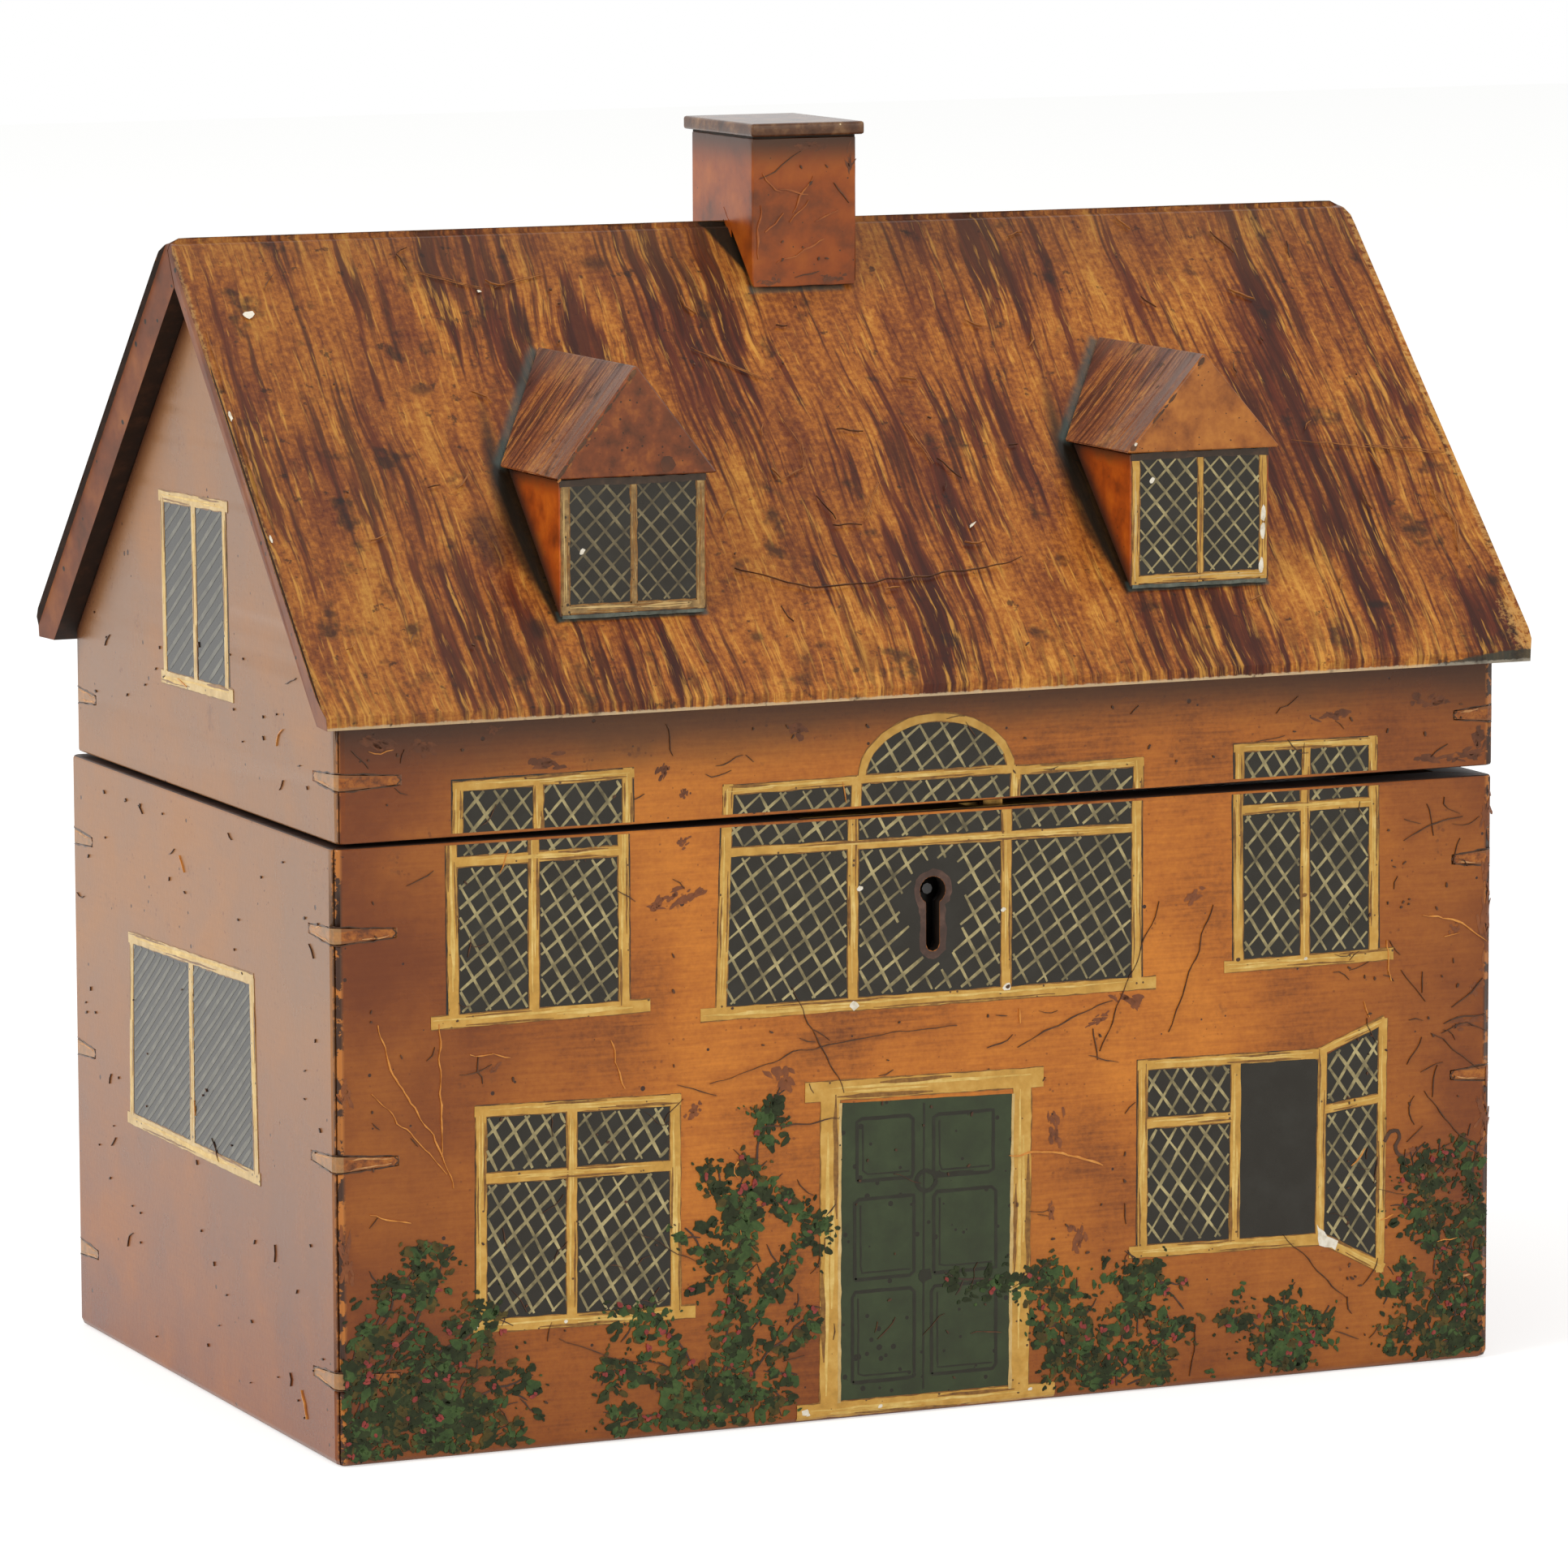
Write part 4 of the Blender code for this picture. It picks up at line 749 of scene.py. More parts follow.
# The finishes
wall = wallPaint()
slabEdge = oilPaint("varnished brown oil paint", ("40200f", "6b3618", "8a5024"), grain=2.2,
                    stretch=(1, 0.25, 0.25), specks=0.22, speckSize=3, roughness=0.45, gloss=1.4)
vergePaint = oilPaint("pale orange paint on the verge", ("9c6636", "b07c47", "c2905c"), grain=8,
                      specks=0.14, speckColour="5a301b")
# the undersides of the slabs near black: painted shade
soffitShade = oilPaint("brown paint, darkened as painted shade under the slabs", ("160d08", "24140c", "3c2315"),
                       grain=2.4, roughness=0.5, gloss=1.4, within="6b4426")
# darkened as painted shade in the seam
rimShade = plainWood("mahogany rim, darkened as painted shade in the seam", ("1d110a", "2e1a10", "43291a"), "X",
                    ring=2.6)
rimWood = plainWood("bare mahogany at the rim", ("4a2816", "7b4a26", "a06a3a"), "X", ring=2.6)
rimWoodSide = plainWood("bare mahogany at the rim, sides", ("4a2816", "7b4a26", "a06a3a"), "Y",
                        ring=2.6)
liningWood = plainWood("planed mahogany lining", ("4e2a18", "7d4a2b", "99633c"), "X", ring=3.2,
                       roughness=0.45)
floorWood = plainWood("planed pine bottom board", ("7a5230", "a67a48", "bf9560"), "X", ring=4)
knobBone = oilPaint("turned bone", ("b79f74", "d9c9a3", "e6dbbd"), grain=1.1, stretch=(1, 1, 0.3),
                    roughness=0.32, relief=0.01)
tealidWood = plainWood("french polished mahogany", ("3a180c", "6a3016", "8a4a22"), "Y", ring=4,
                       roughness=0.22)
# its dark band below the cap is painted shade
chimneyPaint = oilPaint("varnished red-brown oil paint", ("5e290a", "8a3e08", "a2520e"), grain=8,
                        specks=0.13, speckSize=1.5, speckColour="2c1a12", relief=0.08,
                        contrast=0.36, shadeBelowLedge=(178.75, 5, 0.9))
capPaint = oilPaint("worn brown oil paint", ("2f1a13", "53321f", "84603f"), grain=3.4, relief=0.1,
                    contrast=0.42, roughness=0.24, specks=0.12, speckSize=2.5,
                    speckColour="c9b48c")
# its band below the dormer roof and the crease above the slope are painted shade
cheekPaint = oilPaint("bright orange oil paint", ("6e2c08", "9c430a", "b85a10"), grain=4,
                      specks=0.14, contrast=0.4, shadeBelowLedge=(135.1, 2.5, 0.8), valley=5.5)
gablePaint = oilPaint("orange oil paint, browned", ("3c1b0f", "743819", "a45e24"), grain=3.4,
                      specks=0.26, speckSize=1.1, speckColour="33190f", contrast=0.5)
gableBright = oilPaint("orange oil paint on the right dormer", ("6b3514", "9c5a22", "b8742f"),
                       grain=3.4, specks=0.2, speckSize=1.1, speckColour="4a2412", contrast=0.45)
leadPale = oilPaint("thin pale grey line paint", ("3e3d36", "56544a", "6f6c60"), grain=3)
rubDull = oilPaint("faint rubs on red-brown paint", ("7d3f18", "975020", "ac672c"), grain=1.4)
gilt = oilPaint("ochre frame paint", ("96702c", "bf9040", "d6b062"), grain=2.6, specks=0.2,
                speckSize=1.7, speckColour="5a3f22", roughness=0.34, relief=0.05, contrast=0.7)
giltLight = oilPaint("thick ochre paint, rubbed bright", ("b98f43", "cfab5c", "e2c47c"), grain=2)
giltDull = oilPaint("ochre frame paint, worn and dirty", ("4f3a20", "8a6c40", "c29c60"), grain=1.5,
                    specks=0.3, speckSize=1.3, speckColour="33261a", relief=0.06, contrast=0.5)
leadDull = oilPaint("thin ochre line paint, dirty", ("3a3325", "5f553d", "877a58"), grain=2.4,
                    contrast=0.4)
cream = oilPaint("cream frame paint", ("a98a55", "c4a468", "d3ba86"), grain=2.2, specks=0.2)
outline = oilPaint("brown outline paint", ("5a3a1a", "7d5422", "9a7034"), grain=1)
pane = oilPaint("black-green glass paint", ("111211", "191a18", "232422"), grain=5, roughness=0.22,
                relief=0.02)
leadLine = oilPaint("thin ochre line paint", ("4f4833", "867a56", "b3a474"), grain=3,
                    contrast=0.36)
doorGreen = oilPaint("green door paint", ("1d2818", "26341e", "303f25"), grain=5, specks=0.3,
                     speckSize=2.2, speckColour="12160f", roughness=0.26)
doorLine = oilPaint("dark green line paint", ("0b0f0a", "131811", "1c2318"), grain=2)
leafDark = oilPaint("bottle green leaf paint", ("191e13", "262f1b", "384226"), grain=1.6,
                    gloss=1.42)
leafLight = oilPaint("leaf green paint", ("283520", "374b28", "4b6034"), grain=1.6, gloss=1.42)
leafOlive = oilPaint("olive brown leaf paint", ("2e2817", "463d1f", "5f4f26"), grain=1.6,
                     gloss=1.42)
rosePaint = oilPaint("crimson rose paint", ("5c1a1c", "802a29", "a0433a"), grain=1.2)
stemPaint = oilPaint("brown stem paint", ("1d1612", "34221b", "4a2c22"), grain=1.5)
hairline = oilPaint("dirt in scratches", ("26160f", "412618", "643d24"), grain=2.4)
roofDirt = oilPaint("dirt in the roof's scratches", ("2c170e", "4a2b18", "6d4526"), grain=2)
# painted shade: black inside the keyhole and under the chimney cap
shadeBlack = oilPaint("black painted shade inside the keyhole and under the cap", ("0e0a08", "1a120e", "2b1c14"), grain=2,
                   roughness=0.7)
# also painted shade under the dormer eaves
stainAndShadePaint = oilPaint("dark stains on the roof", ("1d140e", "2f2018", "4a3526"), grain=1.4)
smear = oilPaint("brown smears in the varnish", ("5e321d", "753f20", "8e5127"), grain=1.8)
smearDark = oilPaint("dark smears in the varnish", ("42200f", "5a2e17", "743f20"), grain=1.8)
bareGold = oilPaint("scratches down to the orange ground", ("a8652a", "c67f34", "dc9c4e"),
                    grain=1.5)
frayed = oilPaint("gold straw paint rubbed bright", ("6f3f1a", "8e5523", "ab6f32"), grain=1.3)
gesso = oilPaint("white ground in chips", ("b8ab92", "ded5c2", "ece6d8"), grain=1, roughness=0.7)
keyRub = oilPaint("bare red-brown wood rubbed by the key", ("2a1c18", "3d2924", "5c4238"),
                  grain=1.6, roughness=0.4)
flashing = oilPaint("grey-green line paint", ("2c3029", "4a5048", "6a6f64"), grain=2)
foil = beatenFoil()
brass = agedMetal("aged brass", "b08a4a", "5d4424", 5, 0.28)
# the lock darkened round the keyhole as painted shade
lockBrassInShade = agedMetal("aged brass, darkened as painted shade behind the keyhole", "b08a4a", "5d4424", 5, 0.28,
                      grimeAndShade=((0.3, -53, 71.5), 10))
steel = agedMetal("brown steel", "6a625a", "3b2a20", 3, 0.4)
print("finishes mixed")


# The boards, the roof slabs and the small solids of the lid

boardWear = {"arris": 0.25, "wander": 0.22, "spacing": 1.6}


def boardFace(normal, middle):
    # Outer faces are painted, the rest bare wood; painted shade makes the keyhole black and the
    # rims dark.
    # the keyhole's walls, black as painted shade
    if abs(middle.x - 0.3) < 4 and 65 < middle.z < 78 and middle.y < -48.6 and normal.y > -0.5:
        return 2
    # the rims, where lid meets base: darkened as painted shade in the seam
    if abs(normal.z) > 0.75 and 86 < middle.z < 88.2:
        return 3
    outer = abs(middle.x) > 88.2 or abs(middle.y) > 53.6
    return 0 if outer and abs(normal.z) < 0.75 else 1


for number, node in enumerate(("base_front", "base_back", "base_left", "base_right", "lid_front",
                               "lid_back", "gable_left", "gable_right")):
    bare = rimWoodSide if node.endswith(("left", "right")) else rimWood
    softened(node, boardWear["arris"], [wall, bare, shadeBlack, rimShade], boardFace,
             wander=boardWear["wander"], spacing=boardWear["spacing"], seed=number * 7,
             longOnly=True)

dormerSides = {  # left and right cheek, and the top of the gable
    "left": (-54.55, -32.45, 150.6), "right": (33.05, 55.15, 149.0),
}
roofStains = [  # across, down the slope, half width, half height, strength
    (-44.5, 19.5, 1.4, 4.5, 0.6), (-48.0, 26.0, 1.2, 5.0, 0.5), (-60.5, 58.0, 3.2, 6.0, 0.6),
    (-57.9, 74.1, 1.5, 2.2, 0.75), (-69.7, 62.5, 1.8, 2.0, 0.4), (91.4, 74.6, 1.3, 1.3, 0.75),
    (71.3, 77.9, 2.0, 0.8, 0.8), (81.5, 64.4, 1.4, 0.9, 0.6), (-30.1, 8.6, 2.4, 1.5, 0.6),
    (-63.1, 30.6, 2.0, 1.2, 0.6), (-26.1, 77.6, 1.2, 1.0, 0.7),
]


def clockTurn(shape):
    # Whether an outline runs anticlockwise.
    return sum(ax * by - bx * ay for (ax, ay), (bx, by) in around(shape)) > 0


def roofShadows():
    # Painted shadows and flashings: outlines in millimetres across the roof and down its slope.
    drawn = []
    for left, right, apex in dormerSides.values():
        drawn.append(([(left - 0.2, 33), (left - 0.2, 72), (left - 3.4, 62), (left - 3.2, 46)],
                      2.2, 0.85, "shadow"))
        drawn.append(([(left + 1, 40), (left + 1, 73), (left - 0.5, 73.6), (left - 1.9, 60),
                       (left - 2.2, 46)], 0.7, 0.9, "shadow"))
        top = (ridgeTop - apex) / slopeDrop
        drawn.append(([(left - 1.6, 44.5), (left - 0.3, 46), (left + 11.0, top + 1.1),
                       (left + 9.9, top)], 1.3, 0.75, "valley"))
        drawn.append(([(left, 71.4), (left, 73.2), (right + 0.4, 73.2), (right + 0.4, 71.4)], 0.6,
                      0.8, "valley"))
        drawn.append(([(right, 46), (right, 72), (right + 1.2, 71), (right + 1.2, 46)], 0.9, 0.5,
                      "shadow"))
    drawn.append(([(-6.0, -1), (-13.0, -1), (-12.2, 0.8), (-7.6, 15.0)], 0.8, 0.97, "shadow"))
    for x, down, wide, tall, strength in roofStains:
        ring = [(x + wide * math.cos(a * math.pi / 3), down + tall * math.sin(a * math.pi / 3))
                for a in range(6)]
        drawn.append((ring, min(wide, tall) * 1.3, strength, "stain"))
    drawn.append(([(-8, 13.9), (-8, 15.3), (7.0, 15.2), (7.0, 13.9)], 0.9, 0.7, "valley"))
    return [(shape if clockTurn(shape) else shape[::-1], *rest) for shape, *rest in drawn]


thatch = thatchPaint("varnished straw-painted board", "X", roofShadows())
backThatch = thatchPaint("varnished straw-painted board, back", "X")
dormerThatch = thatchPaint("straw paint on the dormers", "Y", mainSlope=False, fine=0.7)


def slabFace(normal, middle):
    # Slopes and noses are thatch, the sawn ends plain brown, the underside near black as painted
    # shade.
    nose = abs(normal.y) > 0.75 and abs(middle.y) > 60 and normal.z > -0.3
    if normal.z < -0.5:
        return 3
    if abs(middle.x) > 93 and middle.y < -0.5 and abs(normal.x) > 0.6:
        return 2
    return 0 if (normal.z > 0.35 or nose) and abs(normal.x) < 0.6 else 1


def dormerFace(normal, middle):
    # The gable's own paint in front, thatch on the slopes, plain brown below.
    return 1 if normal.y < -0.7 else (0 if normal.z > 0.2 else 2)


for node, straw, seed in (("roof_front", thatch, 3), ("roof_back", backThatch, 5)):
    softened(node, 0.35, [straw, slabEdge, vergePaint, soffitShade], slabFace, 0.3,
             2.0, seed, cornerWear=2.6)
for side in ("left", "right"):
    gable = gablePaint if side == "left" else gableBright
    softened("dormer_roof_" + side, 0.2, [dormerThatch, gable, slabEdge],
             dormerFace, 0.22, 1.5, 11)
    softened("dormer_body_" + side, 0.15, [cheekPaint], None, 0.12, 2, 13)
softened("chimney_stack", 0.3, [chimneyPaint], None, 0.22, 1.6, 17)
softened("chimney_cap", 0.2, [capPaint], None, 0.25, 1.3, 19)
mesh = bmesh.new()  # a dark line under the cap, painted shade where it sits on the stack
bmesh.ops.create_cube(mesh, size=1)
bmesh.ops.scale(mesh, vec=(16.1, 21.9, 0.7), verts=mesh.verts)
bmesh.ops.translate(mesh, vec=(0.6, 0.7, 178.85), verts=mesh.verts)
finishPiece("chimney_cap_shade_line", mesh, [shadeBlack], "lid")
print("boards, roof and chimney softened")

# the keys keep their own solids
keyHeights = {"1": 0.0741, "2": 0.0424, "3": 0.0121, "lid": 0.0952}
keyFinishes = {mark: keyWood("painted slip, " + mark, height)
               for mark, height in keyHeights.items()}
kept = {
    "lining_": liningWood, "partition": liningWood, "base_bottom": floorWood,
    "foil_": foil, "lock_case": lockBrassInShade, "lock_spring": steel, "lock_bolt": steel,
    "hinge_": brass, "link_plate": brass, "tea_lid_": tealidWood, "base_key": keyFinishes["1"],
}
for name, solid in frame["nodes"].items():
    if "_key_" in name:
        finish = keyFinishes[name[-1] if name.startswith("base") else "lid"]
    else:
        finish = next((kept[start] for start in kept if name.startswith(start)), None)
    if finish:
        for place in solid.material_slots:
            place.material = finish


# Painted windows. Corners run from the lower left, anticlockwise, to the outside of the frame.
# Bars are strokes from one point to another with their width.

windows = {
    "window_lower_left": {
        "sheet": "front", "body": "base",
        "corners": [(-69.6, 18.6), (-38.6, 18.0), (-38.5, 48.7), (-69.3, 49.3)],
        "bars": [(-68.6, 18.2, -68.4, 49.1, 2.0), (-39.4, 17.6, -39.3, 48.7, 2.0),
                 (-69.4, 48.4, -38.4, 47.8, 2.0), (-55.1, 18.0, -54.9, 48.2, 2.0),
                 (-68.3, 38.9, -39.6, 38.6, 1.9), (-71.5, 18.2, -36.4, 17.6, 2.3)],
        "lights": [(-67.6, 39.9, -55.9, 47.3), (-53.9, 39.9, -40.4, 46.9),
                   (-67.6, 19.4, -55.9, 37.9), (-53.9, 19.0, -40.4, 37.7)],
        "angles": (-63, 42), "pitch": (2.4, 2.4),
        "spots": [(-69.6, 18.1, 0.9, 5), (-69.5, 18.1, 0.4, 6), (-56.0, 17.8, 0.6, 5)],
    },
    "window_lower_right": {
        "sheet": "front", "body": "base",
        "corners": [(32.3, 21.4), (61.8, 20.6), (62.4, 47.9), (32.4, 48.4)],
        "bars": [(33.3, 20.6, 33.4, 48.2, 1.9), (32.5, 47.5, 62.3, 47.1, 1.8),
                 (48.1, 20.6, 48.3, 47.3, 2.1), (34.0, 39.0, 47.6, 38.9, 1.9),
                 (31.2, 20.4, 62.0, 19.9, 2.2)],
        "lights": [(34.2, 40.0, 47.1, 46.6), (34.2, 21.6, 47.1, 38.0)],
        "angles": (-52, 57), "pitch": (2.45, 2.4),
    },
    "window_upper_left": {
        "sheet": "front", "body": "base", "top": 85.75,
        "corners": [(-73.4, 61.6), (-45.9, 62.0), (-45.9, 88), (-73.4, 88)],
        "bars": [(-72.3, 61.4, -72.5, 88, 2.0), (-46.9, 61.4, -46.9, 88, 2.0),
                 (-60.4, 61.4, -60.3, 88, 2.0), (-72.0, 83.3, -47.0, 83.5, 1.8),
                 (-75.7, 61.2, -43.0, 61.5, 2.3)],
        "lights": [(-71.3, 84.2, -61.4, 88), (-59.3, 84.2, -47.9, 88),
                   (-71.3, 62.5, -61.4, 82.4), (-59.3, 62.6, -47.9, 82.5)],
        "angles": (-61, 38), "pitch": (2.45, 2.25),
    },
    "window_upper_left_top": {
        "sheet": "front", "body": "lid", "bottom": 87.35,
        "corners": [(-72.4, 84), (-45.2, 84), (-45.2, 95.0), (-72.4, 94.8)],
        "bars": [(-71.6, 84, -71.4, 93.8, 1.9), (-46.2, 84, -46.2, 95.0, 1.9),
                 (-59.6, 84, -59.5, 94.2, 1.9), (-72.2, 93.8, -45.2, 94.2, 1.7)],
        "lights": [(-70.6, 87.0, -60.5, 93.0), (-58.6, 87.0, -47.2, 93.3)],
        "angles": (-57, 46), "pitch": (2.7, 2.7),
    },
    "window_middle": {
        "sheet": "front", "body": "base", "top": 85.75,
        "corners": [(-33.2, 59.8), (33.3, 59.7), (33.3, 88), (-32.2, 88)],
        "bars": [(-32.3, 59.6, -31.2, 88, 2.0), (32.3, 59.6, 32.3, 88, 1.9),
                 (-12.1, 59.8, -12.0, 88, 2.0), (11.7, 59.8, 11.8, 88, 2.0),
                 (-31.6, 82.2, 31.8, 81.9, 1.6), (-35.4, 59.5, 35.4, 59.4, 2.3)],
        "lights": [(-30.8, 83.0, -13.1, 88), (-11.0, 83.0, 10.7, 88), (12.8, 83.0, 31.3, 88),
                   (-31.4, 60.8, -13.1, 81.3), (-11.0, 60.8, 10.7, 81.2),
                   (12.8, 60.7, 31.3, 81.1)],
        "angles": (-61.5, 36), "pitch": (2.7, 2.45),
        "spots": [(11.9, 60.3, 1.3, 5), (12.0, 60.4, 0.75, 6), (-11.9, 59.3, 1.5, 5),
                  (-11.0, 75.9, 0.9, 5), (-30.6, 60.2, 0.5, 6), (11.3, 71.5, 0.8, 5)],
    },
    "window_middle_top": {
        "sheet": "front", "body": "lid", "bottom": 87.55,
        "corners": [(-31.9, 84), (33.4, 84), (33.4, 92.0), (-31.9, 91.7)],
        "bars": [(-31.2, 84, -31.0, 91.8, 1.9), (32.5, 84, 32.5, 92.0, 1.9),
                 (-31.9, 90.9, -11.2, 91.2, 1.6), (13.4, 91.2, 33.4, 91.3, 1.6),
                 (-11.6, 84, -11.4, 91.6, 1.9), (13.0, 84, 13.3, 91.8, 1.9),
                 (-11.4, 91.3, 13.2, 91.5, 1.5)],
        "lights": [(-30.2, 87.0, -12.6, 90.2), (-10.5, 87.0, 12.1, 90.6),
                   (14.2, 87.0, 31.5, 90.5)],
        "arch": (0.9, 91.2, 11.6, 8.3, 1.5),
        "angles": (-60, 38), "pitch": (2.9, 2.4),
    },
    "window_upper_right": {
        "sheet": "front", "body": "base", "top": 85.75,
        "corners": [(47.6, 61.4), (71.5, 61.4), (71.2, 88), (47.4, 88)],
        "bars": [(48.6, 61.0, 48.4, 88, 1.9), (70.5, 61.0, 70.3, 88, 1.9),
                 (59.3, 61.0, 59.2, 88, 1.8), (48.9, 83.4, 70.2, 83.4, 1.7),
                 (46.3, 60.8, 73.7, 61.0, 2.2)],
        "lights": [(49.6, 84.3, 58.3, 88), (60.2, 84.3, 69.4, 88),
                   (49.6, 62.2, 58.3, 82.5), (60.2, 62.2, 69.4, 82.5)],
        "angles": (-56.5, 46), "pitch": (2.6, 2.55),
        "spots": [(48.5, 61.8, 0.7, 6), (59.4, 61.2, 0.6, 5), (59.2, 70.5, 0.8, 3)],
    },
    "window_upper_right_top": {
        "sheet": "front", "body": "lid", "bottom": 87.95,
        "corners": [(47.7, 84), (71.0, 84), (70.9, 93.0), (47.6, 93.1)],
        "bars": [(48.7, 84, 48.6, 92.9, 1.7), (70.2, 84, 70.1, 93.0, 1.7),
                 (59.3, 84, 59.4, 92.6, 1.7), (47.7, 92.4, 70.9, 92.3, 1.4)],
        "lights": [(49.6, 87.4, 58.4, 91.7), (60.2, 87.4, 69.3, 91.7)],
        "angles": (-60, 46), "pitch": (2.3, 2.4),
    },
}
sideWindows = {
    "window_gable_left": {
        "sheet": "lidLeft", "body": "lid",
        "corners": [(-12.8, 103.2), (14.9, 103.0), (15.8, 128.9), (-11.9, 129.5)],
        "bars": [(-11.6, 102.6, -11.0, 129.3, 1.5), (14.3, 102.4, 15.0, 128.8, 1.5),
                 (1.3, 103.0, 1.8, 128.9, 1.7), (-12.6, 129.2, 16.4, 128.3, 1.6),
                 (-14.1, 102.6, 16.2, 102.2, 1.9)],
        "lights": [(-10.2, 103.8, 0.3, 128.2), (2.4, 103.8, 13.8, 127.6)],
        "angles": (-32,), "pitch": (2.2,), "line": 0.75,
    },
    "window_left": {
        "sheet": "left", "body": "base",
        "corners": [(-24.6, 35.4), (30.1, 35.3), (29.2, 62.9), (-23.2, 64.0)],
        "bars": [(-23.6, 35.2, -22.6, 63.8, 1.9), (29.4, 35.2, 28.4, 62.9, 1.6),
                 (3.0, 35.4, 2.7, 63.2, 1.9), (-23.4, 63.6, 29.8, 62.3, 1.6),
                 (-25.2, 35.4, 31.2, 35.4, 1.8)],
        "lights": [(-21.7, 36.5, 2.0, 62.4), (3.9, 36.5, 27.6, 61.4)],
        "angles": (-34,), "pitch": (1.55,), "line": 0.72,
    },
}
keyhole = {"x": 0.3, "z": 74.9, "round": 2.0, "slot": 2.1, "reach": 8.7}
keyholeWear = (0.6, 72.0, 5.0, 8.2)  # the oval that keys have rubbed: middle and half sizes


def keyholeShape(grow):
    # The outline of the opening in the front board, made larger all round.
    s = keyhole
    radius, half = s["round"] + grow, s["slot"] / 2 + grow
    neck = math.asin(half / radius)
    foot = s["z"] - s["reach"] + s["slot"] / 2
    turns = [-math.pi / 2 + neck + (math.tau - 2 * neck) * i / 20 for i in range(21)]
    shape = [(s["x"] + radius * math.cos(a), s["z"] + radius * math.sin(a)) for a in turns]
    turns = [math.pi + math.pi * i / 8 for i in range(9)]
    return shape + [(s["x"] + half * math.cos(a), foot + half * math.sin(a)) for a in turns]


paintLayers = {  # heights above the board; no two strokes that cross share one
    "glass": 0.03, "edge": 0.05, "line": 0.06, "bar": 0.09, "drag": 0.112, "mark": 0.14,
}
lineWidth = 0.45  # of the painted lead
barShare = 0.74  # the frames come out this much narrower than their measured bands
sideBarShare = 0.95


def streaks(mesh, points, width, lift, rng, light, dark):
    # The drag of the brush along a painted bar: bright ridges and thin brown ones.
    start, end = Vector(points[0]), Vector(points[-1])
    along = (end - start).normalized()
    across = Vector((-along.y, along.x))
    ridges = (light, 0.14, 0.85), (dark, -0.32, 0.4), (light, -0.12, 0.35), (dark, 0.36, 0.3)
    for slot, side, reach in ridges:
        first = rng.uniform(0, 1 - reach)
        line = [start.lerp(end, share) + across * width * (side + rng.uniform(-0.08, 0.08))
                for share in (first, first + reach)]
        brushed(mesh, line, width * rng.uniform(0.14, 0.28), lift, rng, 0.06, 1.2, slot, taper=0.8,
                sway=0.15)
        lift += 0.0005


def paintBar(mesh, points, width, rng, lifts, light, rough=(0.12, 0.12), step=1.4, rows=1,
             edge=0.25):
    # One bar of a frame: its brown outline, the paint itself and the drag of the brush.
    for wide, lift, uneven, slot in ((width + edge, lifts[0], rough[0], 3),
                                     (width, lifts[1], rough[1], 2)):
        brushed(mesh, points, wide, lift, rng, uneven, step, slot, rows=rows)
    if len(points) == 2:
        streaks(mesh, points, width, lifts[2], rng, light, 3)


def archPoints(middle, spring, half, rise, steps=18):
    turns = [math.pi * i / steps for i in range(steps + 1)]
    return [(middle + half * math.cos(a), spring + rise * math.sin(a)) for a in turns]


def paintWindow(name, s, frameFinish, lineFinish, seed):
    share = barShare if s["sheet"] == "front" else sideBarShare
    rng = random.Random(seed)
    mesh = bmesh.new()
    locked = name == "window_middle"
    hole = keyholeShape(0.06) if locked else None
    patch(mesh, s["corners"], paintLayers["glass"], rng, slot=0, hole=hole)
    if locked:
        patch(mesh, keyholeShape(1.0), 0.04, rng, 0.16, 0.7, slot=4, hole=keyholeShape(0.03))
    fields = [[(x0, z0), (x1, z0), (x1, z1), (x0, z1)] for x0, z0, x1, z1 in s["lights"]]
    curves = []
    if "arch" in s:
        middle, spring, half, rise, width = s["arch"]
        curve = archPoints(middle, spring, half, rise)
        patch(mesh, curve, paintLayers["glass"] + 0.004, rng, slot=0)
        fields.append(archPoints(middle, spring + 0.9, half - 0.9, rise - 1.6, 10))
        curves.append((curve, width))
    for field in fields:
        for number, (angle, pitch) in enumerate(zip(s["angles"], s["pitch"])):
            lift = paintLayers["line"] + number * 0.002
            lattice(mesh, field, angle, pitch, s.get("line", lineWidth), lift, rng, slot=1,
                    worn=keyholeWear if locked else None)
    curves += [([(x0, z0), (x1, z1)], width) for x0, z0, x1, z1, width in s["bars"]]
    for number, (points, width) in enumerate(curves):
        lifts = (paintLayers["edge"] + number * 0.001, paintLayers["bar"] + number * 0.002,
                 paintLayers["drag"] + number * 0.003)
        paintBar(mesh, points, width * share, rng, lifts, 7, (0.12, 0.1))
    for number, (x, z, wide, slot) in enumerate(s.get("spots", ())):
        dab(mesh, x, z, wide, wide * 0.8, 0.3, paintLayers["mark"] + number * 0.002, rng, slot)
    for side, cut in (("top", 1), ("bottom", -1)):
        if side in s:
            bmesh.ops.bisect_plane(mesh, geom=[*mesh.verts, *mesh.edges, *mesh.faces], dist=1e-4,
                                   plane_co=(0, s[side], 0), plane_no=(0, cut, 0),
                                   clear_outer=True)
    materials = [pane, lineFinish, frameFinish, outline, keyRub, gesso, hairline, giltLight]
    paintPiece(name, mesh, s["sheet"], materials, s["body"])


for seed, (name, settings) in enumerate(windows.items()):
    paintWindow(name, settings, gilt, leadLine, 100 + seed)
for seed, (name, settings) in enumerate(sideWindows.items()):
    paintWindow(name, settings, cream, leadPale, 200 + seed)

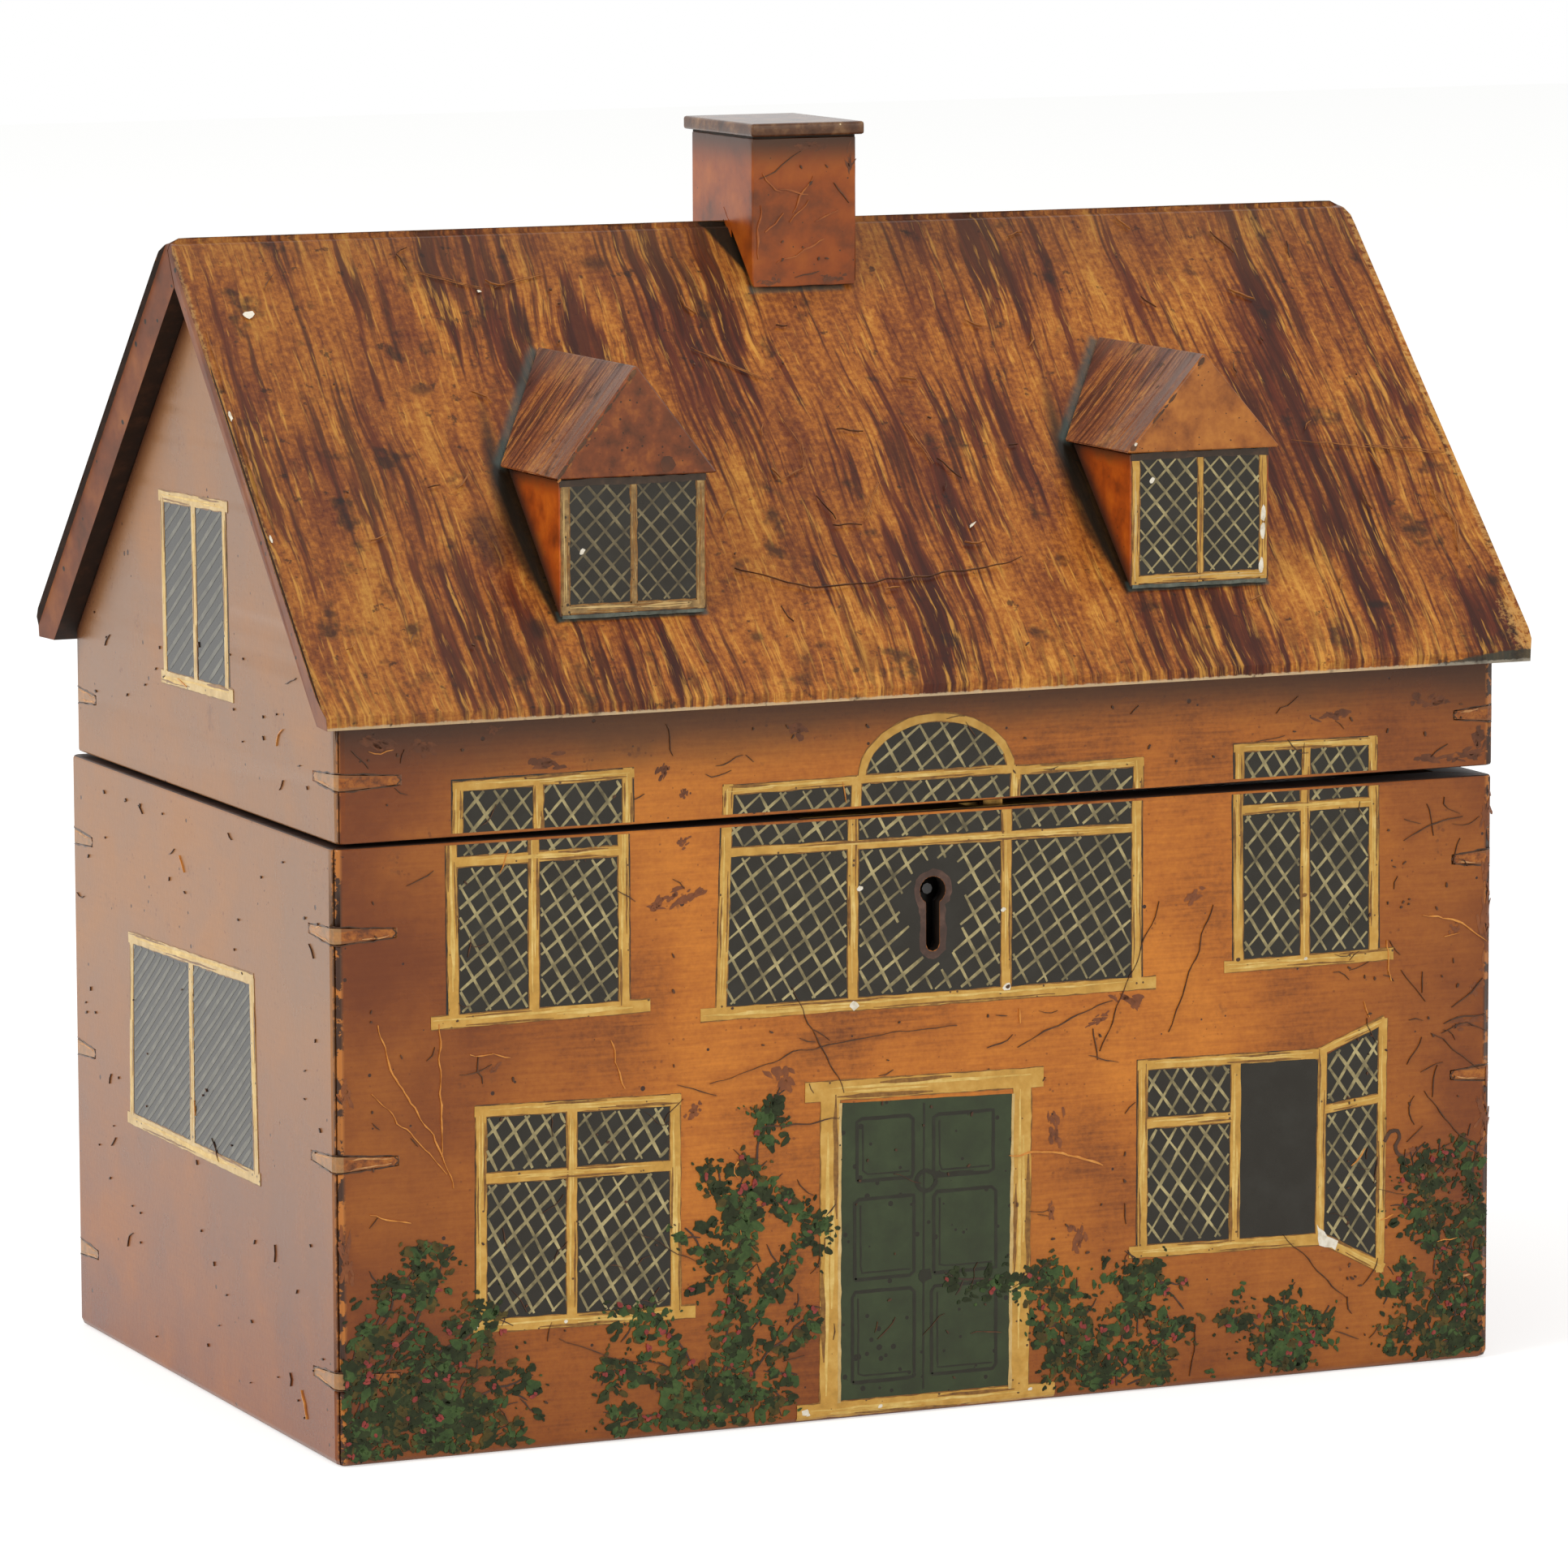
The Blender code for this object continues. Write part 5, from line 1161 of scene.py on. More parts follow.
# the open casement of the lower right window, seen at an angle, and the dark room beyond it
casement = {
    "room": [(48.9, 21.6), (60.7, 21.2), (61.2, 47.0), (49.0, 47.2)],
    "glass": [(62.3, 20.6), (71.6, 15.8), (71.9, 50.6), (62.6, 46.8)],
    "bars": [((61.9, 19.6), (62.3, 48.0), 1.7), ((71.8, 14.2), (72.1, 51.6), 1.7),
             ((61.8, 47.4), (72.4, 51.4), 1.5), ((61.6, 20.4), (72.4, 14.7), 1.9),
             ((62.4, 38.9), (72.0, 40.0), 1.6)],
    "lights": [[(63.2, 20.6), (70.9, 16.8), (71.2, 39.2), (63.2, 38.0)],
               [(63.2, 39.9), (71.2, 40.8), (71.2, 49.8), (63.3, 46.8)]],
    "stay": [(72.4, 33.4), (73.2, 34.8), (74.5, 35.0), (75.0, 34.0), (74.2, 32.6), (74.6, 31.4),
             (75.6, 31.0)],
    "worn": [(61.3, 22.0), (62.0, 19.0), (64.6, 18.0), (64.8, 19.2), (62.6, 20.8)],
}


def paintCasement(s):
    rng = random.Random(31)
    mesh = bmesh.new()
    patch(mesh, s["room"], 0.06, rng, slot=0)
    patch(mesh, s["glass"], 0.032, rng, slot=0)
    for field in s["lights"]:
        lattice(mesh, field, -53, 2.4, lineWidth, 0.062, rng, slot=1)
        lattice(mesh, field, 56, 2.35, lineWidth, 0.064, rng, slot=1)
    for number, (start, end, width) in enumerate(s["bars"]):
        lifts = (0.055 + number * 0.001, 0.1 + number * 0.002, 0.112 + number * 0.003)
        paintBar(mesh, [start, end], width * barShare, rng, lifts, 6, (0.1, 0.1))
    brushed(mesh, s["stay"], 0.55, 0.13, rng, 0.08, 0.6, slot=4)
    patch(mesh, s["worn"], 0.13, rng, 0.2, 0.8, slot=5)
    materials = [pane, leadLine, gilt, outline, hairline, gesso, giltLight]
    paintPiece("window_casement", mesh, "front", materials, "base")


paintCasement(casement)

# dormer windows fill the fronts of the dormers
dormerWindow = {"foot": 116.2, "head": 134.6, "frame": 1.05, "pitch": (2.2, 2.15)}


def paintDormerWindow(side, seed):
    s = dormerWindow
    left, right = dormerSides[side][:2]
    rng = random.Random(seed)
    mesh = bmesh.new()
    corners = [(left + 0.3, s["foot"]), (right - 0.3, s["foot"]), (right - 0.3, s["head"]),
               (left + 0.3, s["head"])]
    patch(mesh, corners, 0.03, rng, slot=0)
    middle = (left + right) / 2 + 0.1
    for low, high in ((left + 1.6, middle - 0.6), (middle + 0.6, right - 1.6)):
        field = [(low, s["foot"] + 1.6), (high, s["foot"] + 1.6), (high, s["head"] - 0.4),
                 (low, s["head"] - 0.4)]
        lattice(mesh, field, -50, s["pitch"][0], 0.4, 0.06, rng, slot=1)
        lattice(mesh, field, 44, s["pitch"][1], 0.32, 0.062, rng, slot=1)
    foot = s["foot"] + 0.7
    bars = [(x, x, s["foot"], s["head"]) for x in (left + 0.9, right - 0.9, middle)]
    bars.append((left + 0.3, right - 0.3, foot, foot))
    for number, (x0, x1, z0, z1) in enumerate(bars):
        lifts = (0.05, 0.09 + number * 0.002, 0.1 + number * 0.003)
        paintBar(mesh, [(x0, z0), (x1, z1)], s["frame"] if number != 2 else 0.75, rng, lifts,
                 7 if x0 < middle else 3, step=1.0, edge=0.3)
    # painted shade: a dark band along the head of the window, under the dormer's eave
    brushed(mesh, [(left + 0.1, 134.5), (right - 0.1, 134.5)], 1.0, 0.13, rng, 0.16, 1.1, slot=8,
            rows=2)
    brushed(mesh, [(left + 0.4, 115.9), (right - 0.4, 115.9)], 0.5, 0.07, rng, slot=4)
    if side == "right":
        for x, z in ((right - 0.9, 125.5), (right - 1.0, 123.0), (right - 1.2, 118.2)):
            dab(mesh, x, z, 2.2, 0.8, 1.5, 0.12, rng, slot=5)
    dab(mesh, left + 3.4, 124.9 if side == "left" else 131.0, 1.0, 0.6, 0.8, 0.12, rng, slot=6)
    lines, frames = (leadDull, giltDull) if side == "left" else (leadLine, gilt)
    materials = [pane, lines, frames, outline, flashing, gesso, gesso, cream, stainAndShadePaint]
    paintPiece("window_dormer_" + side, mesh, "dormer", materials, "lid")


paintDormerWindow("left", 41)
paintDormerWindow("right", 43)

# The front door: green, six sunk panels drawn in line, ring knocker and knob, between posts
door = {
    "leaf": [(-14.4, 2.8), (12.2, 2.7), (12.9, 44.9), (-13.9, 45.5)],
    "panels": [(-11.5, 34.1, -2.8, 43.0), (0.4, 33.9, 9.7, 42.8), (-11.9, 20.0, -2.7, 31.5),
               (0.4, 20.0, 10.1, 31.7), (-12.3, 5.2, -2.7, 18.2), (0.0, 5.4, 10.1, 18.1)],
    "lintel": ((-19.5, 47.4), (17.6, 47.0), 2.7),
    "posts": [((-15.9, 2.5), (-15.6, 47.0), 2.9), ((13.8, 2.2), (14.3, 46.4), 2.8)],
    "sill": ((-20.9, 1.5), (19.4, 1.4), 2.3),
    "knocker": (-0.8, 33.4, 1.5), "knob": (-1.0, 19.8), "line": 0.5,
}


def paintDoor(s):
    rng = random.Random(51)
    mesh = bmesh.new()
    patch(mesh, s["leaf"], 0.05, rng, slot=0)
    for x0, z0, x1, z1 in s["panels"]:
        corners = [(x0, z0), (x1, z0), (x1, z1), (x0, z1), (x0, z0)]
        brushed(mesh, corners, s["line"], 0.07, rng, 0.05, 1.2, slot=1)
        inner = [(x0 + 0.9, z1 - 0.9), (x0 + 0.9, z0 + 0.9), (x1 - 0.6, z0 + 0.9)]
        brushed(mesh, inner, s["line"] * 0.5, 0.068, rng, 0.05, 1.2, slot=1)
    brushed(mesh, [(-1.3, 3.4), (-1.1, 44.6)], 0.3, 0.066, rng, 0.06, 1.4, slot=1)
    x, z, reach = s["knocker"]
    ring = [(x + reach * math.cos(a / 8 * math.pi), z + reach * math.sin(a / 8 * math.pi))
            for a in range(17)]
    brushed(mesh, ring, 0.6, 0.09, rng, 0.06, 0.5, slot=1)
    brushed(mesh, [(x + 0.3, z + 1.2), (x + 3.2, z + 0.6), (x + 7.4, z + 0.9)], 0.7, 0.085, rng,
            0.15, 0.8, slot=1, taper=0.7)
    dab(mesh, *s["knob"], 2.2, 2.0, 0, 0.1, rng, slot=1)
    posts = [*s["posts"], s["lintel"], s["sill"]]
    for number, (start, end, width) in enumerate(posts):
        lifts = (0.055 + number * 0.002, 0.1 + number * 0.003, 0.114 + number * 0.003)
        paintBar(mesh, [start, end], width, rng, lifts, 6, step=1.2, rows=5)
    for x, z, size in ((-19.6, 1.6, 1.3), (-19.2, 1.2, 0.6), (-8.0, 1.5, 0.8), (15.5, 1.9, 0.7)):
        dab(mesh, x, z, size, size * 0.7, 0.3, 0.13, rng, slot=5)
    for (x0, z0), (x1, z1), width in s["posts"]:
        inner = x0 + (1.5 if x0 < 0 else -1.5)
        lower = x1 + (1.5 if x0 < 0 else -1.5)
        brushed(mesh, [(inner, z0), (lower, z1 - 1.5)], 0.45, 0.125, rng, 0.1, 1.2, slot=4)
    materials = [doorGreen, doorLine, gilt, outline, cream, gesso, giltLight]
    paintPiece("front_door", mesh, "front", materials, "base")


paintDoor(door)
print("windows and door painted")


# Climbing roses and bushes at the foot of the front, dabbed on with a small brush.
# A stem is its points and how far its leaves spread, in millimetres.

planting = {
    "roses_left": {
        "stems": [([(-88.5, 1.5), (-86.5, 10), (-84.5, 18), (-81, 24), (-77.5, 29)], 1.8),
                  ([(-88.5, 3), (-83, 7), (-76, 5.5), (-70, 3)], 2.6),
                  ([(-86, 1.5), (-80, 8), (-76, 14), (-70, 18), (-66, 19.5)], 2.6),
                  ([(-80, 1.5), (-74, 6), (-68, 9), (-61, 10.5)], 2.8),
                  ([(-76, 1.2), (-70, 3.0), (-63, 4.2)], 1.8),
                  ([(-88.5, 6), (-88, 14), (-86, 20)], 1.2),
                  ([(-84, 12), (-79, 19), (-75.5, 24), (-74, 29)], 1.0),
                  ([(-79, 29), (-77, 30.5), (-73.5, 30)], 0.8),
                  ([(-88.8, 1.4), (-82, 5), (-76, 9), (-72, 14)], 3.2)],
        "leaves": 500, "size": (1.1, 2.5), "light": 0.2, "roses": 26, "seed": 61,
    },
    "roses_by_door": {
        "stems": [([(-33.5, 1.0), (-32, 9), (-31, 18), (-29.5, 27), (-28.5, 34)], 1.8),
                  ([(-29.5, 27), (-27.5, 35), (-26.5, 41), (-24, 46.5)], 1.6),
                  ([(-32, 9), (-26.5, 17), (-21.5, 24.5), (-16, 29.5)], 1.3),
                  ([(-33, 2), (-40, 7), (-46, 10.5), (-51, 10)], 1.9),
                  ([(-34, 3), (-38, 12), (-43, 17.5), (-49, 18.5)], 1.3),
                  ([(-32, 4), (-27, 9), (-21.5, 14), (-17.5, 15.5)], 1.8),
                  ([(-36, 1.2), (-42, 3.5), (-49.5, 2.6)], 1.6),
                  ([(-31, 1.2), (-26, 4.5), (-21.5, 4)], 1.7),
                  ([(-29, 30), (-33, 34), (-35, 38)], 1.0),
                  ([(-30, 22), (-34.5, 25), (-38, 29.5)], 1.3),
                  ([(-28, 33), (-24, 32.5), (-20.5, 30.5)], 1.2)],
        "leaves": 430, "size": (1.2, 2.7), "light": 0.34, "roses": 36, "seed": 62,
    },
    "roses_right_of_door": {
        "stems": [([(27, 1.2), (25, 8), (21, 14), (17, 20.5)], 2.0),
                  ([(29, 1.2), (30, 8), (32, 14), (34.5, 18.5)], 2.0),
                  ([(27, 1.2), (22.5, 5), (18.5, 7)], 1.6),
                  ([(30, 2), (36, 6), (40, 9.5)], 1.8),
                  ([(32, 12), (36.5, 15.5), (40, 15)], 1.2),
                  ([(20, 15.5), (14, 18), (8, 18.5), (2, 19.5)], 0.9),
                  ([(24, 10), (19, 11.5), (16, 10)], 1.6),
                  ([(31, 1.2), (35, 2.2), (38, 1.8)], 1.2)],
        "leaves": 300, "size": (1.0, 2.4), "light": 0.26, "roses": 18, "seed": 63,
    },
    "bush_right": {
        "stems": [([(57.5, 1.2), (55, 6), (50, 9), (46, 9.5)], 1.2),
                  ([(57.5, 1.2), (57, 7), (56, 12.5)], 1.6),
                  ([(58, 1.2), (61, 6), (63.5, 10)], 1.4),
                  ([(57, 3), (53.5, 3.4), (51.5, 5)], 1.2)],
        "leaves": 130, "size": (1.0, 2.3), "light": 0.3, "roses": 7, "seed": 64,
    },
    "roses_right": {
        "stems": [([(86, 1.4), (84, 9), (81, 17), (79, 25), (76.5, 31.5)], 1.7),
                  ([(87.5, 2), (87.5, 12), (86.5, 22), (87.5, 32)], 1.3),
                  ([(84, 1.4), (77.5, 5), (72.5, 4.5)], 1.8),
                  ([(82, 9), (77.5, 12.5), (73.5, 12.5)], 1.3),
                  ([(83.5, 17), (87, 21.5), (88.6, 23)], 1.2),
                  ([(78.5, 25.5), (82.5, 29.5), (86, 33.5)], 1.1),
                  ([(80, 1.3), (84, 4), (88, 6)], 1.8),
                  ([(80.5, 20), (77.5, 22), (75.5, 24)], 0.9)],
        "leaves": 340, "size": (1.0, 2.4), "light": 0.18, "roses": 14, "seed": 65,
    },
}
leafLayer = {"stem": 0.14, "twig": 0.145, "dark": 0.15, "light": 0.16, "rose": 0.19}
# Shares of the touches: twigs, then the leaves' own tones, with small touches round each leaf
leafTones = {"twigs": 0.12, "olive": 0.2, "around": (2, 4), "scale": 0.92, "loose": 0.1,
             "step": 5e-5}


def paintPlant(name, s):
    t = leafTones
    rng = random.Random(s["seed"])
    mesh = bmesh.new()
    touches = 0
    lengths = [sum(math.dist(a, b) for a, b in zip(points, points[1:])) * (0.6 + spread)
               for points, spread in s["stems"]]

    def somewhere():
        # A place near a stem, and the way the stem runs there.
        points, spread = rng.choices(s["stems"], lengths)[0]
        i = rng.randrange(len(points) - 1)
        share = rng.random()
        (ax, az), (bx, bz) = points[i], points[i + 1]
        away = rng.gauss(0, spread * (2.0 if rng.random() < t["loose"] else 0.85))
        aim = math.atan2(bz - az, bx - ax)
        x = ax + (bx - ax) * share - math.sin(aim) * away
        z = az + (bz - az) * share + math.cos(aim) * away
        return x, z, aim

    def onWall(x, z):
        return -88.8 < x < 88.8 and z > 0.9

    for number, (points, spread) in enumerate(s["stems"]):
        brushed(mesh, points, 0.3, leafLayer["stem"] + number * 0.0004, rng, 0.1, 1.3, slot=2,
                taper=0.4, sway=0.8)
    for number in range(int(s["leaves"] * t["twigs"])):
        x, z, aim = somewhere()
        aim += rng.uniform(-1.3, 1.3)
        reach = rng.uniform(1.5, 4.0)
        end = (x + math.cos(aim) * reach, z + math.sin(aim) * reach)
        if onWall(x, z) and onWall(*end):
            brushed(mesh, [(x, z), end], rng.uniform(0.14, 0.24),
                    leafLayer["twig"] + number * t["step"], rng, 0.05, 0.8, slot=2, taper=0.7,
                    sway=0.5)
    for number in range(s["leaves"]):
        x, z, aim = somewhere()
        size = rng.uniform(*s["size"]) * t["scale"]
        turn = rng.gauss(0.2, 0.8)
        tone = rng.random()
        slot = 1 if tone < s["light"] else (4 if tone < s["light"] + t["olive"] else 0)
        layer = leafLayer["light" if slot == 1 else "dark"]
        for around in range(1 + rng.randint(*t["around"])):
            if onWall(x, z):
                touches += 1
                dab(mesh, x, z, size, size * rng.uniform(0.42, 0.7), turn,
                    layer + touches * t["step"], rng, slot, ragged=0.3)
            x += rng.gauss(0, 0.9)
            z += rng.gauss(0, 0.8)
            size = rng.uniform(0.4, 0.85) * size + 0.12
            turn += rng.gauss(0, 0.6)
    for number in range(s["roses"]):
        x, z, aim = somewhere()
        for _ in range(rng.randint(1, 2)):
            x += rng.uniform(-0.6, 0.6)
            z += rng.uniform(-0.5, 0.5)
            if onWall(x, z):
                touches += 1
                dab(mesh, x, z, rng.uniform(0.5, 1.1), rng.uniform(0.4, 0.75), rng.uniform(0, 3),
                    leafLayer["rose"] + touches * t["step"], rng, slot=3)
    materials = [leafDark, leafLight, stemPaint, rosePaint, leafOlive]
    paintPiece(name, mesh, "front", materials, "base")


for name, settings in planting.items():
    paintPlant(name, settings)
print("planting painted")


# Two hundred years of scratches, smears and chips

marks = {
    "cracks": [  # dark, long and thin: points and width
        ([(-21.5, 62.5), (-13.5, 47.0)], 0.2), ([(-26.5, 42.8), (-14.2, 43.3)], 0.27),
        ([(-34, 49.5), (-20, 53.5), (-6, 55), (4, 55.4)], 0.15),
        ([(28.5, 57.3), (20, 54.5), (13.5, 51.5)], 0.24),
        ([(36, 71), (30.5, 59), (26.5, 50)], 0.14), ([(56, 21), (66.5, 10.5)], 0.15),
        ([(44.5, 70), (37.5, 52.0)], 0.16),
        ([(-33, 48), (-39, 50)], 0.17), ([(75.3, 77.4), (79.7, 79.6), (84.9, 80.4)], 0.24),
        ([(88.5, 56.3), (83.4, 52.3)], 0.24), ([(80, 49), (88, 43)], 0.16),
        ([(79, 40.5), (84, 34), (88.5, 31.5)], 0.16), ([(82, 50.4), (88.8, 51.2)], 0.3),
        ([(75, 58.5), (79, 53.6)], 0.12), ([(81.6, 49.0), (86, 50.0), (89, 48.6)], 0.2),
        ([(-57, 15.5), (-49, 12), (-40.5, 10.2)], 0.17), ([(33, 12), (37, 4)], 0.16),
        ([(42, 9), (41, 1.5)], 0.14), ([(-46, 30), (-36, 24.5)], 0.14),
    ],
    "smears": [
        (31.5, 57.0, 5.0, 1.6, -0.3), (26.5, 54.8, 3.6, 0.9, 0.4), (-22.5, 49.6, 4.2, 2.6, -0.7),
        (-36.5, 45.8, 2.6, 1.4, 0.7), (-41.5, 75.6, 5.0, 1.4, 0.5), (-37.0, 76.4, 4.6, 1.2, 0.5),
        (85.8, 50.0, 6.0, 1.3, 0.1), (89.0, 80.5, 1.4, 5.0, 0.0), (88.9, 64.0, 1.6, 7.0, 0.0),
        (89.0, 72.0, 1.2, 4.0, 0.0), (87.6, 55.4, 2.4, 1.6, 0.7), (88.8, 36.0, 1.6, 8.0, 0.0),
        (-88.6, 30.0, 1.6, 7.0, 0.1), (-88.2, 52.0, 1.8, 4.0, 0.0), (19.5, 39.5, 1.8, 3.4, 0.1),
        (18.9, 27.4, 1.0, 1.8, 0), (23.4, 22.8, 1.7, 3.2, 0.1), (41.5, 71.5, 2.8, 1.6, 0.6),
        (-38.0, 84.0, 2.0, 1.0, 0.4),
        (77.4, 31.8, 1.8, 1.2, 0.5), (84, 64, 1.8, 1.2, 0.3), (-66, 54.5, 1.6, 0.8, 0.6),
    ],
    "lidSmears": [
        (-58.8, 96.4, 5.4, 1.6, 0.2), (-83.0, 100.6, 4.4, 1.6, -0.2), (-76.2, 99.6, 3.4, 1.6, -0.3),
        (-41.0, 94.0, 1.4, 2.0, -0.4), (-37.6, 91.0, 1.3, 1.3, 0), (-20.4, 98.8, 3.2, 1.8, -0.4),
        (80.0, 97.4, 4.4, 1.4, 0.1), (84.0, 89.4, 9.0, 1.4, 0.04), (87.6, 92.0, 2.4, 3.0, 0.0),
        (64.0, 96.5, 4.6, 1.2, 0.1), (-66.0, 101.5, 1.5, 1.0, 0), (77, 98, 2.5, 1.2, 0.4),
    ],
    "rubs": [
        ([(-83.5, 61.5), (-81.5, 54.5), (-75, 44.5), (-72.5, 38)], 0.24),
        ([(-74.5, 61), (-74.2, 42.5)], 0.18), ([(-84.5, 52), (-77, 44), (-73.6, 40)], 0.14),
        ([(12.2, 36.0), (18.5, 36.2), (22.0, 35.2), (27.0, 33.6)], 0.42),
        ([(-85, 35), (-79, 33.5)], 0.2),
        ([(-70, 56.5), (-64, 55.7)], 0.18), ([(13.5, 57), (14, 55)], 0.3),
        ([(78.5, 66.5), (84.5, 65.0), (89, 61.8)], 0.26),
        ([(-49, 57), (-47, 50)], 0.15), ([(72.5, 63), (73.3, 57)], 0.2),
    ],
    "roofCracks": [([(-26.0, -65.2), (-15.5, -69.5), (-4.1, -68.9), (11.5, -67.5),
                     (18.4, -66.1)], 0.18)],
    "roofRubs": [([(68.1, -46.5), (79.4, -48.3), (92.5, -50.3)], 0.42),
                 ([(-12.5, -31.6), (-10.6, -37.8), (-9.1, -43.2), (-9.9, -47.6),
                   (-14.3, -49.6)], 0.36), ([(8.3, -40.3), (10.3, -48.0)], 0.4),
                 ([(1.2, -50.5), (-3.6, -57.7)], 0.34),
                 ([(87.2, -58), (89.1, -63.8), (87.3, -70.5)], 0.7),
                 ([(-58, -9), (-49, -12.5)], 0.22),
                 ([(-20, -25), (-11, -31)], 0.4), ([(-47, -12), (-39, -10)], 0.2),
                 ([(-93.0, -18), (-93.0, -30)], 0.3), ([(-93.0, -33), (-93.0, -52)], 0.5)],
    "roofChips": [(-85.2, -15.8, 1.7, 1.3, 0.5), (12.6, -59.6, 1.5, 0.4, 0.6),
                  (-92.6, -34, 0.5, 1.6, 0), (-92.5, -56, 0.4, 1.2, 0), (-49.5, -13, 0.6, 0.4, 0)],
}
markLayer = {"smear": 0.02, "rub": 0.205, "crack": 0.215}


def curvedScratch(mesh, rng, x, z, reach, width, lift, slot=0):
    aim = rng.uniform(0, math.tau)
    points = [(x, z)]
    for _ in range(4):
        aim += rng.gauss(0, 0.6) * 0.5
        x += math.cos(aim) * reach / 4
        z += math.sin(aim) * reach / 4
        points.append((x, z))
    brushed(mesh, points, width, lift, rng, 0.04, 0.9, slot, taper=0.8)


def scatterMarks(name, sheet, body, region, count, seed, extra=(), bright=0.04, stains=smear,
                 bare=bareGold, dirt=hairline, lines=0.4):
    # Small dark scratches and nicks in a region, with the larger marks given one by one.
    rng = random.Random(seed)
    mesh = bmesh.new()
    x0, z0, x1, z1 = region
    for number in range(count):
        x, z = rng.uniform(x0, x1), rng.uniform(z0, z1)
        lift = markLayer["crack"] + number * 1e-4
        kind = rng.random()
        margin = 4.5
        x = min(max(x, x0 + margin), x1 - margin)
        z = min(max(z, z0 + margin * 0.8), z1 - margin * 0.8)
        if kind < lines:
            curvedScratch(mesh, rng, x, z, rng.uniform(1.5, 5.0), rng.uniform(0.07, 0.13), lift)
        elif kind < 1 - bright:
            dab(mesh, x, z, rng.uniform(0.25, 0.8), rng.uniform(0.16, 0.36), rng.uniform(0, 3),
                lift, rng)
        else:
            curvedScratch(mesh, rng, x, z, rng.uniform(2, 4.4), rng.uniform(0.12, 0.2), lift,
                          slot=2)
    for number, (kind, item) in enumerate(extra):
        if kind == "crack":
            brushed(mesh, item[0], item[1] * 0.62, markLayer["crack"] + 0.02 + number * 1e-3, rng,
                    0.05, 1.1, 0, taper=0.7, sway=0.5)
        elif kind == "rub":
            brushed(mesh, item[0], item[1] * 0.8, markLayer["rub"] + number * 1e-3, rng, 0.1, 0.8,
                    2, taper=0.7, sway=0.5)
        elif kind == "fray":
            for strand in range(2):
                shift = rng.gauss(0, item[1] * 0.8), rng.gauss(0, item[1] * 0.7)
                line = [(min(max(x + shift[0], x0), x1), z + shift[1]) for x, z in item[0]]
                first = rng.randrange(len(line) - 1)
                brushed(mesh, line[first:], item[1] * rng.uniform(0.2, 0.38),
                        0.05 + (number * 2 + strand) * 2e-4, rng, 0.06, 0.9, 2, taper=0.9,
                        sway=0.3)
        elif kind == "chip":
            dab(mesh, *item, 0.05 + number * 1e-4, rng, 3, ragged=0.35)
        else:
            x, z, long, wide, turn = item
            for i in range(16):
                along, over = rng.gauss(0, long * 0.27), rng.gauss(0, wide * 0.27)
                dab(mesh, x + along * math.cos(turn) - over * math.sin(turn),
                    z + along * math.sin(turn) + over * math.cos(turn),
                    long * rng.uniform(0.14, 0.45), wide * rng.uniform(0.2, 0.6),
                    turn + rng.gauss(0, 0.3), markLayer["smear"] + (number * 16 + i) * 4e-5, rng,
                    1, ragged=0.3)
    paintPiece(name, mesh, sheet, [dirt, stains, bare, gesso], body)


def drawnByHand(s, **kinds):
    # The marks of some kinds, each with its kind.
    return [(kind, item) for kind, key in kinds.items() for item in s[key]]


scratched = [  # sheet, body, region from corner to corner, how many, and what differs
    ("front_left", "front", "base", (-89, 1, -35, 86), 64, {}),
    ("front_middle", "front", "base", (-35, 1, 35, 60), 80,
     {"extra": drawnByHand(marks, crack="cracks", rub="rubs", smear="smears")}),
    ("front_right", "front", "base", (62, 1, 89, 86), 120, {}),
    ("lid_front", "front", "lid", (-89, 87.5, 89, 103), 44,
     {"extra": drawnByHand(marks, smear="lidSmears"), "stains": smearDark}),
    ("left", "left", "base", (-54, 1, 54, 86), 70, {"bright": 0.02, "lines": 0.12}),
    ("gable_left", "lidLeft", "lid", (-50, 88, 50, 112), 24, {"bright": 0.02, "lines": 0.12}),
    ("right", "right", "base", (-54, 1, 54, 86), 70, {}),
    ("gable_right", "lidRight", "lid", (-50, 88, 50, 112), 24, {}),
    ("back", "back", "base", (-89, 1, 89, 84), 70, {}),
    ("roof", "slope", "lid", (-92, -85, 92, -2), 70,
     {"extra": drawnByHand(marks, crack="roofCracks", fray="roofRubs", chip="roofChips"),
      "bright": 0.4, "stains": stainAndShadePaint, "bare": frayed, "dirt": roofDirt}),
]
for seed, (name, sheet, body, region, count, settings) in enumerate(scratched, 71):
    scatterMarks("scratches_" + name, sheet, body, region, count, seed, **settings)

# the stack: old scratches across its front, and putty where it meets the ridge
stack = {
    "rubs": [([(-3.8, 160.5), (3.7, 163.8)], 0.2), ([(-3.4, 171.3), (1.1, 170.3)], 0.3),
             ([(1.8, 173.1), (-1.3, 167.8)], 0.2), ([(-6.4, 169.0), (-6.9, 161.3)], 0.26),
             ([(-5.5, 165.0), (-2.7, 167.8)], 0.16), ([(2.2, 166.4), (5.8, 168.0)], 0.14),
             ([(-1.8, 166.5), (1.2, 169.6)], 0.2)],
    "cracks": [([(-6.4, 172.7), (0.1, 176.7)], 0.2),
               ([(5.2, 172.0), (7.6, 169.0)], 0.2), ([(-1, 158.4), (2.8, 159.5)], 0.18)],
    "smears": [(-4.8, 158.0, 3.4, 0.8, 0.1), (5.0, 158.2, 3.6, 0.8, 0.0),
               (7.8, 175.0, 0.8, 3.4, 0.0), (1.5, 177.4, 6, 0.8, 0)],
    "putty": [(-2.8, 163.6), (0, 166.5), (2.8, 163.6), (2.8, 165.4), (0, 168.3), (-2.8, 165.4)],
}
scatterMarks("scratches_chimney", "stackFront", "lid", (-7.4, 157.5, 8.6, 178), 9, 90,
             drawnByHand(stack, crack="cracks", rub="rubs", smear="smears"), stains=smearDark,
             lines=0.0, bare=rubDull)
